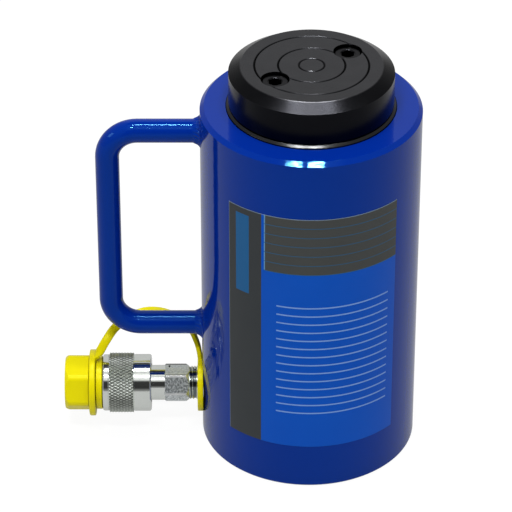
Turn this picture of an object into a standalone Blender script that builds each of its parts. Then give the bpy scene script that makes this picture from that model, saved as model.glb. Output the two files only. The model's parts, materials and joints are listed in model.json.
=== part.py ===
"""Single-acting hydraulic cylinder with spring return, carrying handle and capped screw coupler.

Metres, +Z up. The origin is the centre of the base, the plunger slides along +Z,
and the handle and the oil port point along -X.
"""

import math

import bmesh
import bpy
from mathutils import Matrix, Vector

# Clearance between pieces that touch
GAP = 0.0003

# Cylinder body and travel
BORE_DIAMETER = 0.075
WALL_THICKNESS = 0.015
BODY_DIAMETER = BORE_DIAMETER + 2 * WALL_THICKNESS
STROKE = 0.100
FLOOR_THICKNESS = 0.020
BODY_TOP_CHAMFER = 0.002
BODY_FOOT_CHAMFER = 0.001

# Plunger rod
ROD_ANNULUS = 0.0075
ROD_DIAMETER = BORE_DIAMETER - 2 * ROD_ANNULUS
ROD_PILOT_STEP = 0.003
ROD_PILOT_DIAMETER = ROD_DIAMETER - 2 * ROD_PILOT_STEP
ROD_TOP_CHAMFER = 0.001
CROWN_THICKNESS = 0.028
BOSS_DIAMETER = 0.028
BOSS_HEIGHT = 0.0025

# Piston and its seals
PISTON_INSET = 0.0002
PISTON_CHAMFER_HEIGHT = 0.006
PISTON_CHAMFER_WIDTH = 0.004
PISTON_LAND = 0.003
PISTON_TOP_LAND = 0.0034
SEAL_DEPTH = 0.006
SEAL_HEIGHT = 0.008
BACKUP_HEIGHT = 0.0031
WEAR_RING_THICKNESS = 0.0025
PISTON_WEAR_HEIGHT = 0.0054
PISTON_LENGTH = (PISTON_CHAMFER_HEIGHT + 2 * PISTON_LAND + SEAL_HEIGHT + BACKUP_HEIGHT
                 + PISTON_WEAR_HEIGHT + PISTON_TOP_LAND + 5 * GAP)

# Gland nut, which stops the piston and guides the rod
GLAND_SHOULDER = 0.0025
GLAND_DIAMETER = BORE_DIAMETER + 2 * GLAND_SHOULDER
GLAND_PROUD = 0.0015
GLAND_SKIRT = 0.006
GLAND_CHAMFER = 0.001
GLAND_WEAR_HEIGHT = 0.0094
GLAND_WEAR_OFFSET = 0.011
GLAND_LAND = 0.0056
WIPER_HEIGHT = 0.0044
WIPER_WIDTH = 0.0037
WIPER_LIP = 0.002
WIPER_COVER = 0.002
WIPER_MOUTH = 0.0022
GLAND_LENGTH = (GLAND_WEAR_OFFSET + GLAND_WEAR_HEIGHT + GLAND_LAND + WIPER_HEIGHT
                + WIPER_COVER + 2 * GAP)
O_RING_SECTION = 0.0026
SPANNER_HOLE_DIAMETER = 0.004
SPANNER_HOLE_DEPTH = 0.005

# Saddle and its screws
SADDLE_DIAMETER = 0.078
SADDLE_HEIGHT = 0.0197
SADDLE_CHAMFER_HEIGHT = 0.0036
SADDLE_CHAMFER_WIDTH = 0.0056
SADDLE_FACE_DIAMETER = SADDLE_DIAMETER - 2 * SADDLE_CHAMFER_WIDTH
SADDLE_FOOT_CHAMFER = 0.0005
SADDLE_RIM_WIDTH = 0.0066
SADDLE_GROOVE_RADII = (0.0060, 0.0157, SADDLE_FACE_DIAMETER / 2 - SADDLE_RIM_WIDTH)
SADDLE_GROOVE_WIDTH = 0.0011
SADDLE_GROOVE_DEPTH = 0.0007
SCREW_EDGE_DISTANCE = 0.0086
SCREW_CIRCLE_RADIUS = ROD_DIAMETER / 2 - SCREW_EDGE_DISTANCE
SCREW_ANGLE = math.radians(37)
SCREW_DIAMETER = 0.008
SCREW_HEAD_DIAMETER = 0.013
SCREW_HEAD_HEIGHT = 0.008
SCREW_HEAD_CHAMFER = 0.0007
SCREW_LENGTH = 0.025
SCREW_SINK = 0.0012
SCREW_SOCKET = 0.006
SCREW_SOCKET_DEPTH = 0.004

# Return spring and the two eye bolts that hold it
SPRING_WIRE = 0.0046
SPRING_MEAN_DIAMETER = 0.022
SPRING_CLEARANCE = 0.0017
CAVITY_DIAMETER = SPRING_MEAN_DIAMETER + SPRING_WIRE + 2 * SPRING_CLEARANCE
SPRING_COIL_GAP = 0.0017
SPRING_LEAD_IN = 0.004
SPRING_LEAD_ANGLE = math.radians(30)
HOOK_TIP_ANGLE = math.radians(65)
EYE_WIDTH = 0.013
EYE_THICKNESS = 0.005
EYE_CLEARANCE = 0.0006
EYE_HOLE_DIAMETER = SPRING_WIRE + 2 * EYE_CLEARANCE
EYE_STAND_OFF = 0.007
EYE_FLANGE_DIAMETER = 0.020
EYE_FLANGE_THICKNESS = 0.0037
EYE_STUD_DIAMETER = 0.010
ANCHOR_STUD_LENGTH = 0.012
HANGER_NUT_HEIGHT = 0.005
HANGER_NUT_FLATS = 0.016

# Carrying handle, a bent bar welded to the body
HANDLE_BAR_DIAMETER = 0.0115
HANDLE_STAND_OFF = 0.0441
HANDLE_REACH = BODY_DIAMETER / 2 + HANDLE_STAND_OFF
HANDLE_LOWER_LEG = 0.0612
HANDLE_TOP_DISTANCE = 0.0143
HANDLE_BEND_RADIUS = 0.0145
WELD_LENGTH = 0.006
WELD_FLARE = 0.0028

# Oil port and coupler; stations count outwards from the cylinder's own axis
PORT_HEIGHT = 0.0245
PORT_WEB = 0.003
PORT_DEPTH = WALL_THICKNESS - PORT_WEB
PORT_DRILLING_DIAMETER = 0.006
NIPPLE_MOUTH_RADIUS = 0.00835
NIPPLE_END_RADIUS = 0.0079
NIPPLE_VISIBLE_LENGTH = 0.0065
THREAD_PITCH = 0.0014
THREAD_DEPTH = 0.0006
HEX_LENGTH = 0.0123
HEX_FLATS = 0.0164
HEX_CORNER = HEX_FLATS / math.sqrt(3)
HEX_TURN = math.radians(-4.5)
HEX_CHAMFER = 0.0008
NECK_STEP = 0.00077
NECK_RADIUS = HEX_CORNER - NECK_STEP
NECK_LENGTH = 0.0128
COUPLER_FLANGE_THICKNESS = 0.003
COUPLER_FACE_LENGTH = 0.0037
VALVE_BORE_RADIUS = 0.0054
VALVE_MOUTH_RADIUS = 0.0034
VALVE_SEAT_LENGTH = 0.002
VALVE_MOUTH_LENGTH = 0.0045
FACE_SEAL_RADIUS = 0.0063
FACE_SEAL_SECTION = 0.0020
FACE_SEAL_LAND = 0.0017
COUPLER_FACE_RADIUS = FACE_SEAL_RADIUS + FACE_SEAL_LAND
POPPET_HEAD_LENGTH = 0.003
POPPET_STEM_RADIUS = 0.0015
POPPET_STEM_LENGTH = 0.019
VALVE_GUIDE_LENGTH = 0.003
VALVE_GUIDE_SETBACK = 0.0117
VALVE_GUIDE_SLOT_RADIUS = 0.0017
VALVE_SPRING_WIRE = 0.0008
VALVE_SPRING_RADIUS = 0.0034
VALVE_SPRING_TURNS = 5

# Knurled collar that spins on the coupler's neck
COLLAR_REAR_LENGTH = 0.00855
COLLAR_KNURL_LENGTH = 0.0123
COLLAR_FRONT_LENGTH = 0.0031
COLLAR_THREAD_RADIUS = 0.0122
COLLAR_FRONT_WALL = 0.0018
COLLAR_FRONT_RADIUS = COLLAR_THREAD_RADIUS + COLLAR_FRONT_WALL
COLLAR_GRIP_STEP = 0.00085
COLLAR_KNURL_RADIUS = COLLAR_FRONT_RADIUS + COLLAR_GRIP_STEP
COLLAR_REAR_STEP = 0.0007
COLLAR_REAR_RADIUS = COLLAR_KNURL_RADIUS - COLLAR_REAR_STEP
COLLAR_EDGE = 0.0008
COLLAR_WALL_LENGTH = 0.00565
KNURL_DEPTH = 0.0004
KNURL_ROWS = 6
WIRE_RING_SECTION = 0.0016
WIRE_RING_OFFSET = 0.0022

# Dust cap and its moulded tether
CAP_HEX_FLATS = 0.0255
CAP_HEX_LENGTH = 0.0117
CAP_HEX_ROUND = 0.0016
CAP_HEX_TURN = math.radians(-15)
CAP_END_CHAMFER = 0.0010
CAP_SHOULDER_RADIUS = 0.01315
CAP_SHOULDER_LENGTH = 0.0029
CAP_GROOVE_RADIUS = 0.0092
CAP_GROOVE_LENGTH = 0.0037
CAP_FACE_CLEARANCE = 0.0010
CAP_HOLLOW_RADIUS = COUPLER_FACE_RADIUS + CAP_FACE_CLEARANCE
CAP_SPIGOT_WALL = COLLAR_THREAD_RADIUS - GAP - CAP_HOLLOW_RADIUS
CAP_SPIGOT_LENGTH = 0.0139
GASKET_THICKNESS = 0.0015
GASKET_HOLE_RADIUS = 0.0040
TETHER_RING_THICKNESS = 0.0024
TETHER_RING_RADIUS = 0.01415
TETHER_LOOP_RADIUS = 0.01645
TETHER_WIDTH = 0.0044
TETHER_THICKNESS = 0.0021
TETHER_TAB_STEPS = 5
# The strap leans behind the handle's lower leg; offsets along X, Y and Z from the coupler's axis,
# the first half measured from the cap's loop and the second half from the ring at the port.
TETHER_FROM_LOOP = (
    (0.0004, 0.0004, 0.0141),
    (0.0034, 0.0006, 0.0178),
    (0.0068, 0.0028, 0.0233),
    (0.0118, 0.0090, 0.0283),
    (0.0204, 0.0142, 0.0324),
)
TETHER_FROM_PORT = (
    (-0.0234, 0.0164, 0.0341),
    (-0.0145, 0.0152, 0.0320),
    (-0.0060, 0.0112, 0.0266),
    (-0.0018, 0.0064, 0.0205),
    (-0.0002, 0.0026, 0.0152),
    (0.0000, 0.0006, 0.0110),
)
# Beside both rings the strap's width lies along Y. In between it twists, until its flat side
# looks forwards and up; the twist's places are shares of the way from the loop to the port.
TETHER_FLAT_TOWARDS = (0.0, -0.83, 0.56)
TETHER_TWIST_START = 0.02
TETHER_TWIST_FULL = 0.10
TETHER_TWIST_FADE = 0.35
TETHER_TWIST_END = 0.62

# Facets
BODY_STEPS = 56
ROUND_STEPS = 32
SADDLE_STEPS = 40
COUPLER_STEPS = 20
COLLAR_STEPS = 40
SCREW_STEPS = 16
BAR_SIDES = 12
WIRE_SIDES = 6
SPRING_POINTS_PER_TURN = 10
VALVE_SPRING_POINTS_PER_TURN = 8
BEND_STEPS = 6
CUTTER_MARGIN = 0.004

# Heights and radii that follow from the sizes above
BORE_RADIUS = BORE_DIAMETER / 2
BODY_RADIUS = BODY_DIAMETER / 2
ROD_RADIUS = ROD_DIAMETER / 2
PILOT_RADIUS = ROD_PILOT_DIAMETER / 2
GLAND_RADIUS = GLAND_DIAMETER / 2
PISTON_BOTTOM = FLOOR_THICKNESS + GAP
PISTON_TOP = PISTON_BOTTOM + PISTON_LENGTH
GLAND_BOTTOM = PISTON_TOP + STROKE + GAP
GLAND_TOP = GLAND_BOTTOM + GLAND_LENGTH
GLAND_SEAT = GLAND_BOTTOM + GLAND_SKIRT
BODY_TOP = GLAND_TOP - GLAND_PROUD
HANDLE_UPPER_LEG = BODY_TOP - HANDLE_TOP_DISTANCE
ROD_TOP = GLAND_TOP
CAVITY_TOP = ROD_TOP - CROWN_THICKNESS
SADDLE_BOTTOM = GLAND_TOP + GAP
SADDLE_TOP = SADDLE_BOTTOM + SADDLE_HEIGHT
SCREW_SEAT = SADDLE_TOP - SCREW_SINK - SCREW_HEAD_HEIGHT
LOWER_EYE = PISTON_BOTTOM + EYE_FLANGE_THICKNESS + EYE_STAND_OFF
UPPER_EYE = CAVITY_TOP - GAP - EYE_FLANGE_THICKNESS - EYE_STAND_OFF
NUT_FLOOR = ROD_TOP + BOSS_HEIGHT - 2 * GAP - HANGER_NUT_HEIGHT

# Stations along the coupler, counted from the cylinder's axis
PORT_BOTTOM = BODY_RADIUS - PORT_DEPTH
HEX_START = BODY_RADIUS + NIPPLE_VISIBLE_LENGTH
HEX_END = HEX_START + HEX_LENGTH
FLANGE_START = HEX_END + NECK_LENGTH - GAP
FLANGE_END = FLANGE_START + COUPLER_FLANGE_THICKNESS
COUPLER_END = FLANGE_END + COUPLER_FACE_LENGTH
COLLAR_SHOULDER = FLANGE_START - GAP
COLLAR_START = COLLAR_SHOULDER - COLLAR_WALL_LENGTH
KNURL_START = COLLAR_START + COLLAR_REAR_LENGTH
KNURL_END = KNURL_START + COLLAR_KNURL_LENGTH
COLLAR_END = KNURL_END + COLLAR_FRONT_LENGTH
WIRE_RING_STATION = COLLAR_START + WIRE_RING_OFFSET
WIRE_RING_CENTRE = NECK_RADIUS + GAP
SEAT_START = COUPLER_END - VALVE_MOUTH_LENGTH - VALVE_SEAT_LENGTH
SEAT_END = COUPLER_END - VALVE_MOUTH_LENGTH
POPPET_BACK = SEAT_START - GAP - POPPET_HEAD_LENGTH
GUIDE_END = POPPET_BACK - VALVE_GUIDE_SETBACK
CAP_START = COLLAR_END + GAP
CAP_GROOVE_START = CAP_START + CAP_SHOULDER_LENGTH
CAP_HEX_START = CAP_GROOVE_START + CAP_GROOVE_LENGTH
CAP_END = CAP_HEX_START + CAP_HEX_LENGTH
TETHER_LOOP_STATION = CAP_GROOVE_START + CAP_GROOVE_LENGTH / 2
TETHER_RING_STATION = BODY_RADIUS + GAP + TETHER_RING_THICKNESS / 2


def clear_scene():
    for item in list(bpy.data.objects):
        bpy.data.objects.remove(item)


def finish_material(name, colour, roughness, metallic):
    """One Principled material: linear colour, roughness and metallic value."""
    material = bpy.data.materials.new(name)
    material.use_nodes = True
    shader = material.node_tree.nodes["Principled BSDF"]
    shader.inputs["Base Color"].default_value = (*colour, 1.0)
    shader.inputs["Roughness"].default_value = roughness
    shader.inputs["Metallic"].default_value = metallic
    return material


def make_finishes():
    return {
        "blue_paint": finish_material("blue_paint", (0.002, 0.030, 0.205), 0.25, 0.0),
        "black_oxide": finish_material("black_oxide", (0.020, 0.021, 0.024), 0.40, 0.6),
        "ground_steel": finish_material("ground_steel", (0.60, 0.61, 0.63), 0.15, 1.0),
        "machined_steel": finish_material("machined_steel", (0.45, 0.45, 0.46), 0.35, 1.0),
        "spring_steel": finish_material("spring_steel", (0.16, 0.16, 0.17), 0.45, 0.9),
        "plated_steel": finish_material("plated_steel", (0.68, 0.69, 0.68), 0.22, 1.0),
        "yellow_plastic": finish_material("yellow_plastic", (0.72, 0.64, 0.004), 0.40, 0.0),
        "seal_rubber": finish_material("seal_rubber", (0.015, 0.015, 0.016), 0.60, 0.0),
        "guide_plastic": finish_material("guide_plastic", (0.55, 0.50, 0.36), 0.55, 0.0),
    }


def add_axis(name, location=(0.0, 0.0, 0.0), rotation=(0.0, 0.0, 0.0)):
    """An empty that holds one line of pieces on their common axis."""
    empty = bpy.data.objects.new(name, None)
    empty.location = location
    empty.rotation_euler = rotation
    bpy.context.scene.collection.objects.link(empty)
    return empty


def add_piece(name, shape, finish, axis, smooth_below=math.radians(40)):
    """Turns finished bmesh geometry into a named object on an axis."""
    mesh = bpy.data.meshes.new(name)
    bmesh.ops.recalc_face_normals(shape, faces=shape.faces)
    shape.to_mesh(mesh)
    shape.free()
    mesh.shade_smooth()
    mesh.set_sharp_from_angle(angle=smooth_below)
    piece = bpy.data.objects.new(name, mesh)
    bpy.context.scene.collection.objects.link(piece)
    piece.parent = axis
    if finish is not None:
        mesh.materials.append(finish)
    return piece


def turned(name, outline, finish, axis, steps=ROUND_STEPS, closed=False):
    """Spins an outline of (radius, height) points round Z; a closed outline makes a ring."""
    shape = bmesh.new()
    points = [shape.verts.new((radius, 0.0, height)) for radius, height in outline]
    edges = [shape.edges.new(pair) for pair in zip(points, points[1:])]
    if closed:
        edges.append(shape.edges.new((points[-1], points[0])))
    bmesh.ops.spin(shape, geom=points + edges, cent=(0, 0, 0), axis=(0, 0, 1),
                   dvec=(0, 0, 0), angle=math.tau, steps=steps, use_merge=True)
    bmesh.ops.remove_doubles(shape, verts=shape.verts, dist=1e-6)
    return add_piece(name, shape, finish, axis)


def ring(name, inner, outer, bottom, top, finish, axis, steps=ROUND_STEPS):
    outline = [(inner, bottom), (outer, bottom), (outer, top), (inner, top)]
    return turned(name, outline, finish, axis, steps, closed=True)


def round_ring(name, centre_radius, section, height, finish, axis, steps=ROUND_STEPS):
    """A ring of round section, such as an O-ring or a wire ring."""
    outline = []
    for index in range(WIRE_SIDES):
        turn = math.tau * index / WIRE_SIDES
        radius = centre_radius + section / 2 * math.cos(turn)
        outline.append((radius, height + section / 2 * math.sin(turn)))
    return turned(name, outline, finish, axis, steps, closed=True)


def circle_section(radius, sides):
    turns = [math.tau * index / sides for index in range(sides)]
    return [(radius * math.cos(turn), radius * math.sin(turn)) for turn in turns]


def strap_section(width, thickness):
    """A flat strap's outline with bevelled edges."""
    half, thin = width / 2, thickness / 2
    flat = half - thin * 0.6
    low = thin * 0.4
    return [(half, -low), (half, low), (flat, thin), (-flat, thin),
            (-half, low), (-half, -low), (-flat, -thin), (flat, -thin)]


def swept(name, centres, section, side, finish, axis, scale=None, across=None):
    """Carries a closed section along a line of centres and caps both ends.

    It is carried without twist from its first side, or follows across(centre, tangent)."""
    shape = bmesh.new()
    last = len(centres) - 1
    side = Vector(side)
    loops = []
    for index, centre in enumerate(centres):
        ahead, behind = centres[min(index + 1, last)], centres[max(index - 1, 0)]
        tangent = (ahead - behind).normalized()
        side = across(centre, tangent) if across else side
        side = (side - tangent * side.dot(tangent)).normalized()
        other = tangent.cross(side)
        size = scale(centre) if scale else 1.0
        loops.append([shape.verts.new(centre + (side * a + other * b) * size) for a, b in section])
    for first, second in zip(loops, loops[1:]):
        for index in range(len(section)):
            after = (index + 1) % len(section)
            shape.faces.new((first[index], first[after], second[after], second[index]))
    shape.faces.new(loops[0][::-1])
    shape.faces.new(loops[-1])
    return add_piece(name, shape, finish, axis)


def smooth_line(points, steps):
    """Points on a smooth curve through the given ones (Catmull-Rom)."""
    knots = [Vector(point) for point in points]
    knots = [2 * knots[0] - knots[1]] + knots + [2 * knots[-1] - knots[-2]]
    line = []
    for a, b, c, d in zip(knots, knots[1:], knots[2:], knots[3:]):
        for step in range(steps):
            t = step / steps
            blend = (2 * b + (c - a) * t + (2 * a - 5 * b + 4 * c - d) * t ** 2
                     + (3 * b - a - 3 * c + d) * t ** 3)
            line.append(blend / 2)
    line.append(knots[-2])
    return line


def hexagon(name, across_flats, bottom, top, finish, axis, turn=0.0, corner=0.0):
    """A hexagonal prism, with rounded corners if a corner size is given."""
    shape = bmesh.new()
    radius = across_flats / math.sqrt(3)
    made = bmesh.ops.create_circle(shape, cap_ends=True, segments=6, radius=radius)
    bmesh.ops.rotate(shape, verts=made["verts"], cent=(0, 0, 0),
                     matrix=Matrix.Rotation(turn, 3, "Z"))
    bmesh.ops.translate(shape, verts=made["verts"], vec=(0, 0, bottom))
    lifted = bmesh.ops.extrude_face_region(shape, geom=shape.faces[:])
    verts = [item for item in lifted["geom"] if isinstance(item, bmesh.types.BMVert)]
    bmesh.ops.translate(shape, verts=verts, vec=(0, 0, top - bottom))
    if corner:
        upright = [edge for edge in shape.edges
                   if abs(edge.verts[0].co.z - edge.verts[1].co.z) > (top - bottom) / 2]
        bmesh.ops.bevel(shape, geom=upright, offset=corner, segments=2, profile=0.5,
                        affect="EDGES")
    return add_piece(name, shape, finish, axis)


def boolean(piece, other, operation):
    """Cuts, joins or intersects a piece with a guide body, which isn't shown itself."""
    other.hide_render = True
    other.display_type = "WIRE"
    step = piece.modifiers.new(operation.lower(), "BOOLEAN")
    step.operation = operation
    step.solver = "EXACT"
    step.object = other
    return piece


def make_cylinder_body(finish, axis, port_axis):
    """Thick-walled barrel with its floor, gland seat, anchor hole and oil port."""
    stud_hole = EYE_STUD_DIAMETER / 2 + GAP
    seat_radius = GLAND_RADIUS + GAP
    outline = [
        (0.0, 0.0),
        (BODY_RADIUS - BODY_FOOT_CHAMFER, 0.0),
        (BODY_RADIUS, BODY_FOOT_CHAMFER),
        (BODY_RADIUS, BODY_TOP - BODY_TOP_CHAMFER),
        (BODY_RADIUS - BODY_TOP_CHAMFER, BODY_TOP),
        (seat_radius, BODY_TOP),
        (seat_radius, GLAND_SEAT),
        (BORE_RADIUS, GLAND_SEAT),
        (BORE_RADIUS, FLOOR_THICKNESS),
        (stud_hole, FLOOR_THICKNESS),
        (stud_hole, FLOOR_THICKNESS - ANCHOR_STUD_LENGTH),
        (0.0, FLOOR_THICKNESS - ANCHOR_STUD_LENGTH),
    ]
    body = turned("cylinder_body", outline, finish, axis, BODY_STEPS)
    slope = (NIPPLE_MOUTH_RADIUS - NIPPLE_END_RADIUS) / (BODY_RADIUS - PORT_BOTTOM)
    drilling = PORT_DRILLING_DIAMETER / 2
    port = [
        (0.0, BORE_RADIUS - CUTTER_MARGIN),
        (drilling, BORE_RADIUS - CUTTER_MARGIN),
        (drilling, PORT_BOTTOM),
        (NIPPLE_END_RADIUS + GAP, PORT_BOTTOM),
        (NIPPLE_MOUTH_RADIUS + GAP + slope * CUTTER_MARGIN, BODY_RADIUS + CUTTER_MARGIN),
        (0.0, BODY_RADIUS + CUTTER_MARGIN),
    ]
    cutter = turned("port_cutter", port, None, port_axis, COUPLER_STEPS)
    return boolean(body, cutter, "DIFFERENCE")


def make_gland(finishes, axis):
    """Stop ring screwed into the barrel, with its guide ring, wiper and O-ring."""
    inner = ROD_RADIUS + GAP
    outer = GLAND_RADIUS
    skirt = BORE_RADIUS - GAP
    wear_bottom = GLAND_BOTTOM + GLAND_WEAR_OFFSET
    wear_top = wear_bottom + GLAND_WEAR_HEIGHT
    wear_outer = inner + WEAR_RING_THICKNESS
    wiper_top = GLAND_TOP - WIPER_COVER
    wiper_bottom = wiper_top - WIPER_HEIGHT - 2 * GAP
    wiper_outer = inner + WIPER_WIDTH
    seal_floor = skirt - O_RING_SECTION - GAP
    seal_height = GLAND_BOTTOM + GLAND_SKIRT / 2
    seal_half = O_RING_SECTION / 2 + GAP
    outline = [
        (inner, GLAND_BOTTOM), (skirt, GLAND_BOTTOM),
        (skirt, seal_height - seal_half), (seal_floor, seal_height - seal_half),
        (seal_floor, seal_height + seal_half), (skirt, seal_height + seal_half),
        (skirt, GLAND_SEAT + GAP), (outer, GLAND_SEAT + GAP),
        (outer, GLAND_TOP - GLAND_CHAMFER), (outer - GLAND_CHAMFER, GLAND_TOP),
        (inner + WIPER_MOUTH, GLAND_TOP), (inner + WIPER_MOUTH, wiper_top),
        (wiper_outer + GAP, wiper_top), (wiper_outer + GAP, wiper_bottom),
        (inner, wiper_bottom),
        (inner, wear_top + GAP), (wear_outer + GAP, wear_top + GAP),
        (wear_outer + GAP, wear_bottom - GAP), (inner, wear_bottom - GAP),
    ]
    gland = turned("gland_nut", outline, finishes["black_oxide"], axis, closed=True)
    hole_circle = (outer - GLAND_CHAMFER + wiper_outer + GAP) / 2
    for number, direction in enumerate((1, -1), start=1):
        hole = round_cutter(f"spanner_cutter_{number}", SPANNER_HOLE_DIAMETER / 2,
                            GLAND_TOP - SPANNER_HOLE_DEPTH, GLAND_TOP + CUTTER_MARGIN, axis)
        hole.location = (0.0, direction * hole_circle, 0.0)
        boolean(gland, hole, "DIFFERENCE")
    ring("gland_wear_ring", inner, wear_outer, wear_bottom, wear_top,
         finishes["guide_plastic"], axis)
    round_ring("gland_o_ring", skirt - O_RING_SECTION / 2, O_RING_SECTION, seal_height,
               finishes["seal_rubber"], axis)
    heel = wiper_bottom + GAP
    lip = [
        (inner + 2 * GAP, heel), (wiper_outer, heel), (wiper_outer, wiper_top - GAP),
        (inner + WIPER_MOUTH - 2 * GAP, wiper_top - GAP),
        (inner + 2 * GAP, wiper_top + WIPER_LIP - 2 * GAP),
        (inner, wiper_top + WIPER_LIP - 3 * GAP),
        (inner + 2 * GAP, wiper_top - 2 * GAP),
    ]
    turned("rod_wiper", lip, finishes["seal_rubber"], axis, closed=True)


def round_cutter(name, radius, bottom, top, axis, steps=SCREW_STEPS):
    """A plain round cutter along an axis."""
    outline = [(0.0, bottom), (radius, bottom), (radius, top), (0.0, top)]
    return turned(name, outline, None, axis, steps)


def screw_places():
    """The two saddle screws lie opposite each other."""
    for number in (1, 2):
        angle = SCREW_ANGLE + math.pi * (number - 1)
        place = (SCREW_CIRCLE_RADIUS * math.cos(angle), SCREW_CIRCLE_RADIUS * math.sin(angle), 0.0)
        yield number, place


def make_plunger_rod(finish, axis):
    """Hollow rod with its pilot for the piston, solid crown and register boss."""
    cavity = CAVITY_DIAMETER / 2
    boss = BOSS_DIAMETER / 2
    boss_top = ROD_TOP + BOSS_HEIGHT
    nut_recess = HANGER_NUT_FLATS / math.sqrt(3) + 2 * GAP
    stud = EYE_STUD_DIAMETER / 2 + GAP
    outline = [
        (cavity, PISTON_BOTTOM), (PILOT_RADIUS, PISTON_BOTTOM), (PILOT_RADIUS, PISTON_TOP + GAP),
        (ROD_RADIUS, PISTON_TOP + GAP), (ROD_RADIUS, ROD_TOP - ROD_TOP_CHAMFER),
        (ROD_RADIUS - ROD_TOP_CHAMFER, ROD_TOP), (boss, ROD_TOP), (boss, boss_top),
        (nut_recess, boss_top), (nut_recess, NUT_FLOOR), (stud, NUT_FLOOR),
        (stud, CAVITY_TOP), (cavity, CAVITY_TOP),
    ]
    rod = turned("plunger_rod", outline, finish, axis, closed=True)
    tapping_bottom = SCREW_SEAT - SCREW_LENGTH - GAP
    for number, place in screw_places():
        hole = round_cutter(f"tapping_cutter_{number}", SCREW_DIAMETER / 2 + GAP,
                            tapping_bottom, ROD_TOP + BOSS_HEIGHT, axis)
        hole.location = place
        boolean(rod, hole, "DIFFERENCE")
    return rod


def make_piston(finishes, axis):
    """Piston head screwed on the rod's pilot, with its U-seal, back-up ring and guide ring."""
    inner = PILOT_RADIUS + GAP
    wall = BORE_RADIUS - GAP - PISTON_INSET
    face = BORE_RADIUS - GAP
    seal_floor = face - SEAL_DEPTH
    seal_bottom = PISTON_BOTTOM + PISTON_CHAMFER_HEIGHT + PISTON_LAND + GAP
    seal_top = seal_bottom + SEAL_HEIGHT
    backup_bottom = seal_top + GAP
    backup_top = backup_bottom + BACKUP_HEIGHT
    wear_floor = face - WEAR_RING_THICKNESS
    wear_bottom = backup_top + GAP + PISTON_LAND + GAP
    wear_top = wear_bottom + PISTON_WEAR_HEIGHT
    outline = [
        (inner, PISTON_BOTTOM), (wall - PISTON_CHAMFER_WIDTH, PISTON_BOTTOM),
        (wall, PISTON_BOTTOM + PISTON_CHAMFER_HEIGHT),
        (wall, seal_bottom - GAP), (seal_floor - GAP, seal_bottom - GAP),
        (seal_floor - GAP, backup_top + GAP), (wall, backup_top + GAP),
        (wall, wear_bottom - GAP), (wear_floor - GAP, wear_bottom - GAP),
        (wear_floor - GAP, wear_top + GAP), (wall, wear_top + GAP),
        (wall, PISTON_TOP), (inner, PISTON_TOP),
    ]
    turned("piston_head", outline, finishes["machined_steel"], axis, closed=True)
    valley = (seal_floor + face) / 2
    lip_width = SEAL_DEPTH / 6
    u_shape = [
        (seal_floor, seal_bottom), (seal_floor + lip_width, seal_bottom),
        (valley, seal_bottom + SEAL_HEIGHT / 2), (face - lip_width, seal_bottom),
        (face, seal_bottom), (face, seal_top), (seal_floor, seal_top),
    ]
    turned("piston_seal", u_shape, finishes["seal_rubber"], axis, closed=True)
    ring("piston_backup_ring", seal_floor, face, backup_bottom, backup_top,
         finishes["guide_plastic"], axis)
    ring("piston_wear_ring", wear_floor, face, wear_bottom, wear_top,
         finishes["guide_plastic"], axis)


def make_saddle(finish, axis):
    """Round pressure pad with turned grooves, two counterbored holes and a register below."""
    outer = SADDLE_DIAMETER / 2
    face = SADDLE_FACE_DIAMETER / 2
    register = BOSS_DIAMETER / 2 + GAP
    register_top = ROD_TOP + BOSS_HEIGHT + GAP
    outline = [(0.0, register_top), (register, register_top), (register, SADDLE_BOTTOM),
               (outer - SADDLE_FOOT_CHAMFER, SADDLE_BOTTOM),
               (outer, SADDLE_BOTTOM + SADDLE_FOOT_CHAMFER),
               (outer, SADDLE_TOP - SADDLE_CHAMFER_HEIGHT), (face, SADDLE_TOP)]
    for radius in sorted(SADDLE_GROOVE_RADII, reverse=True):
        outline += [(radius + SADDLE_GROOVE_WIDTH / 2, SADDLE_TOP),
                    (radius, SADDLE_TOP - SADDLE_GROOVE_DEPTH),
                    (radius - SADDLE_GROOVE_WIDTH / 2, SADDLE_TOP)]
    outline.append((0.0, SADDLE_TOP))
    saddle = turned("saddle", outline, finish, axis, SADDLE_STEPS)
    for number, place in screw_places():
        seat = SCREW_SEAT - GAP
        stepped = [(0.0, SADDLE_BOTTOM - CUTTER_MARGIN),
                   (SCREW_DIAMETER / 2 + GAP, SADDLE_BOTTOM - CUTTER_MARGIN),
                   (SCREW_DIAMETER / 2 + GAP, seat),
                   (SCREW_HEAD_DIAMETER / 2 + GAP, seat),
                   (SCREW_HEAD_DIAMETER / 2 + GAP, SADDLE_TOP + CUTTER_MARGIN),
                   (0.0, SADDLE_TOP + CUTTER_MARGIN)]
        cutter = turned(f"counterbore_cutter_{number}", stepped, None, axis, SCREW_STEPS)
        cutter.location = place
        boolean(saddle, cutter, "DIFFERENCE")
    return saddle


def make_saddle_screws(finish, axis):
    """Two socket head screws that hold the saddle on the rod."""
    head = SCREW_HEAD_DIAMETER / 2
    shank = SCREW_DIAMETER / 2
    head_top = SCREW_SEAT + SCREW_HEAD_HEIGHT
    outline = [(0.0, SCREW_SEAT - SCREW_LENGTH), (shank, SCREW_SEAT - SCREW_LENGTH),
               (shank, SCREW_SEAT), (head, SCREW_SEAT), (head, head_top - SCREW_HEAD_CHAMFER),
               (head - SCREW_HEAD_CHAMFER, head_top), (0.0, head_top)]
    for number, place in screw_places():
        screw = turned(f"saddle_screw_{number}", outline, finish, axis, SCREW_STEPS)
        screw.location = place
        socket = hexagon(f"socket_cutter_{number}", SCREW_SOCKET, head_top - SCREW_SOCKET_DEPTH,
                         head_top + CUTTER_MARGIN, None, axis)
        socket.location = place
        boolean(screw, socket, "DIFFERENCE")


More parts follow.
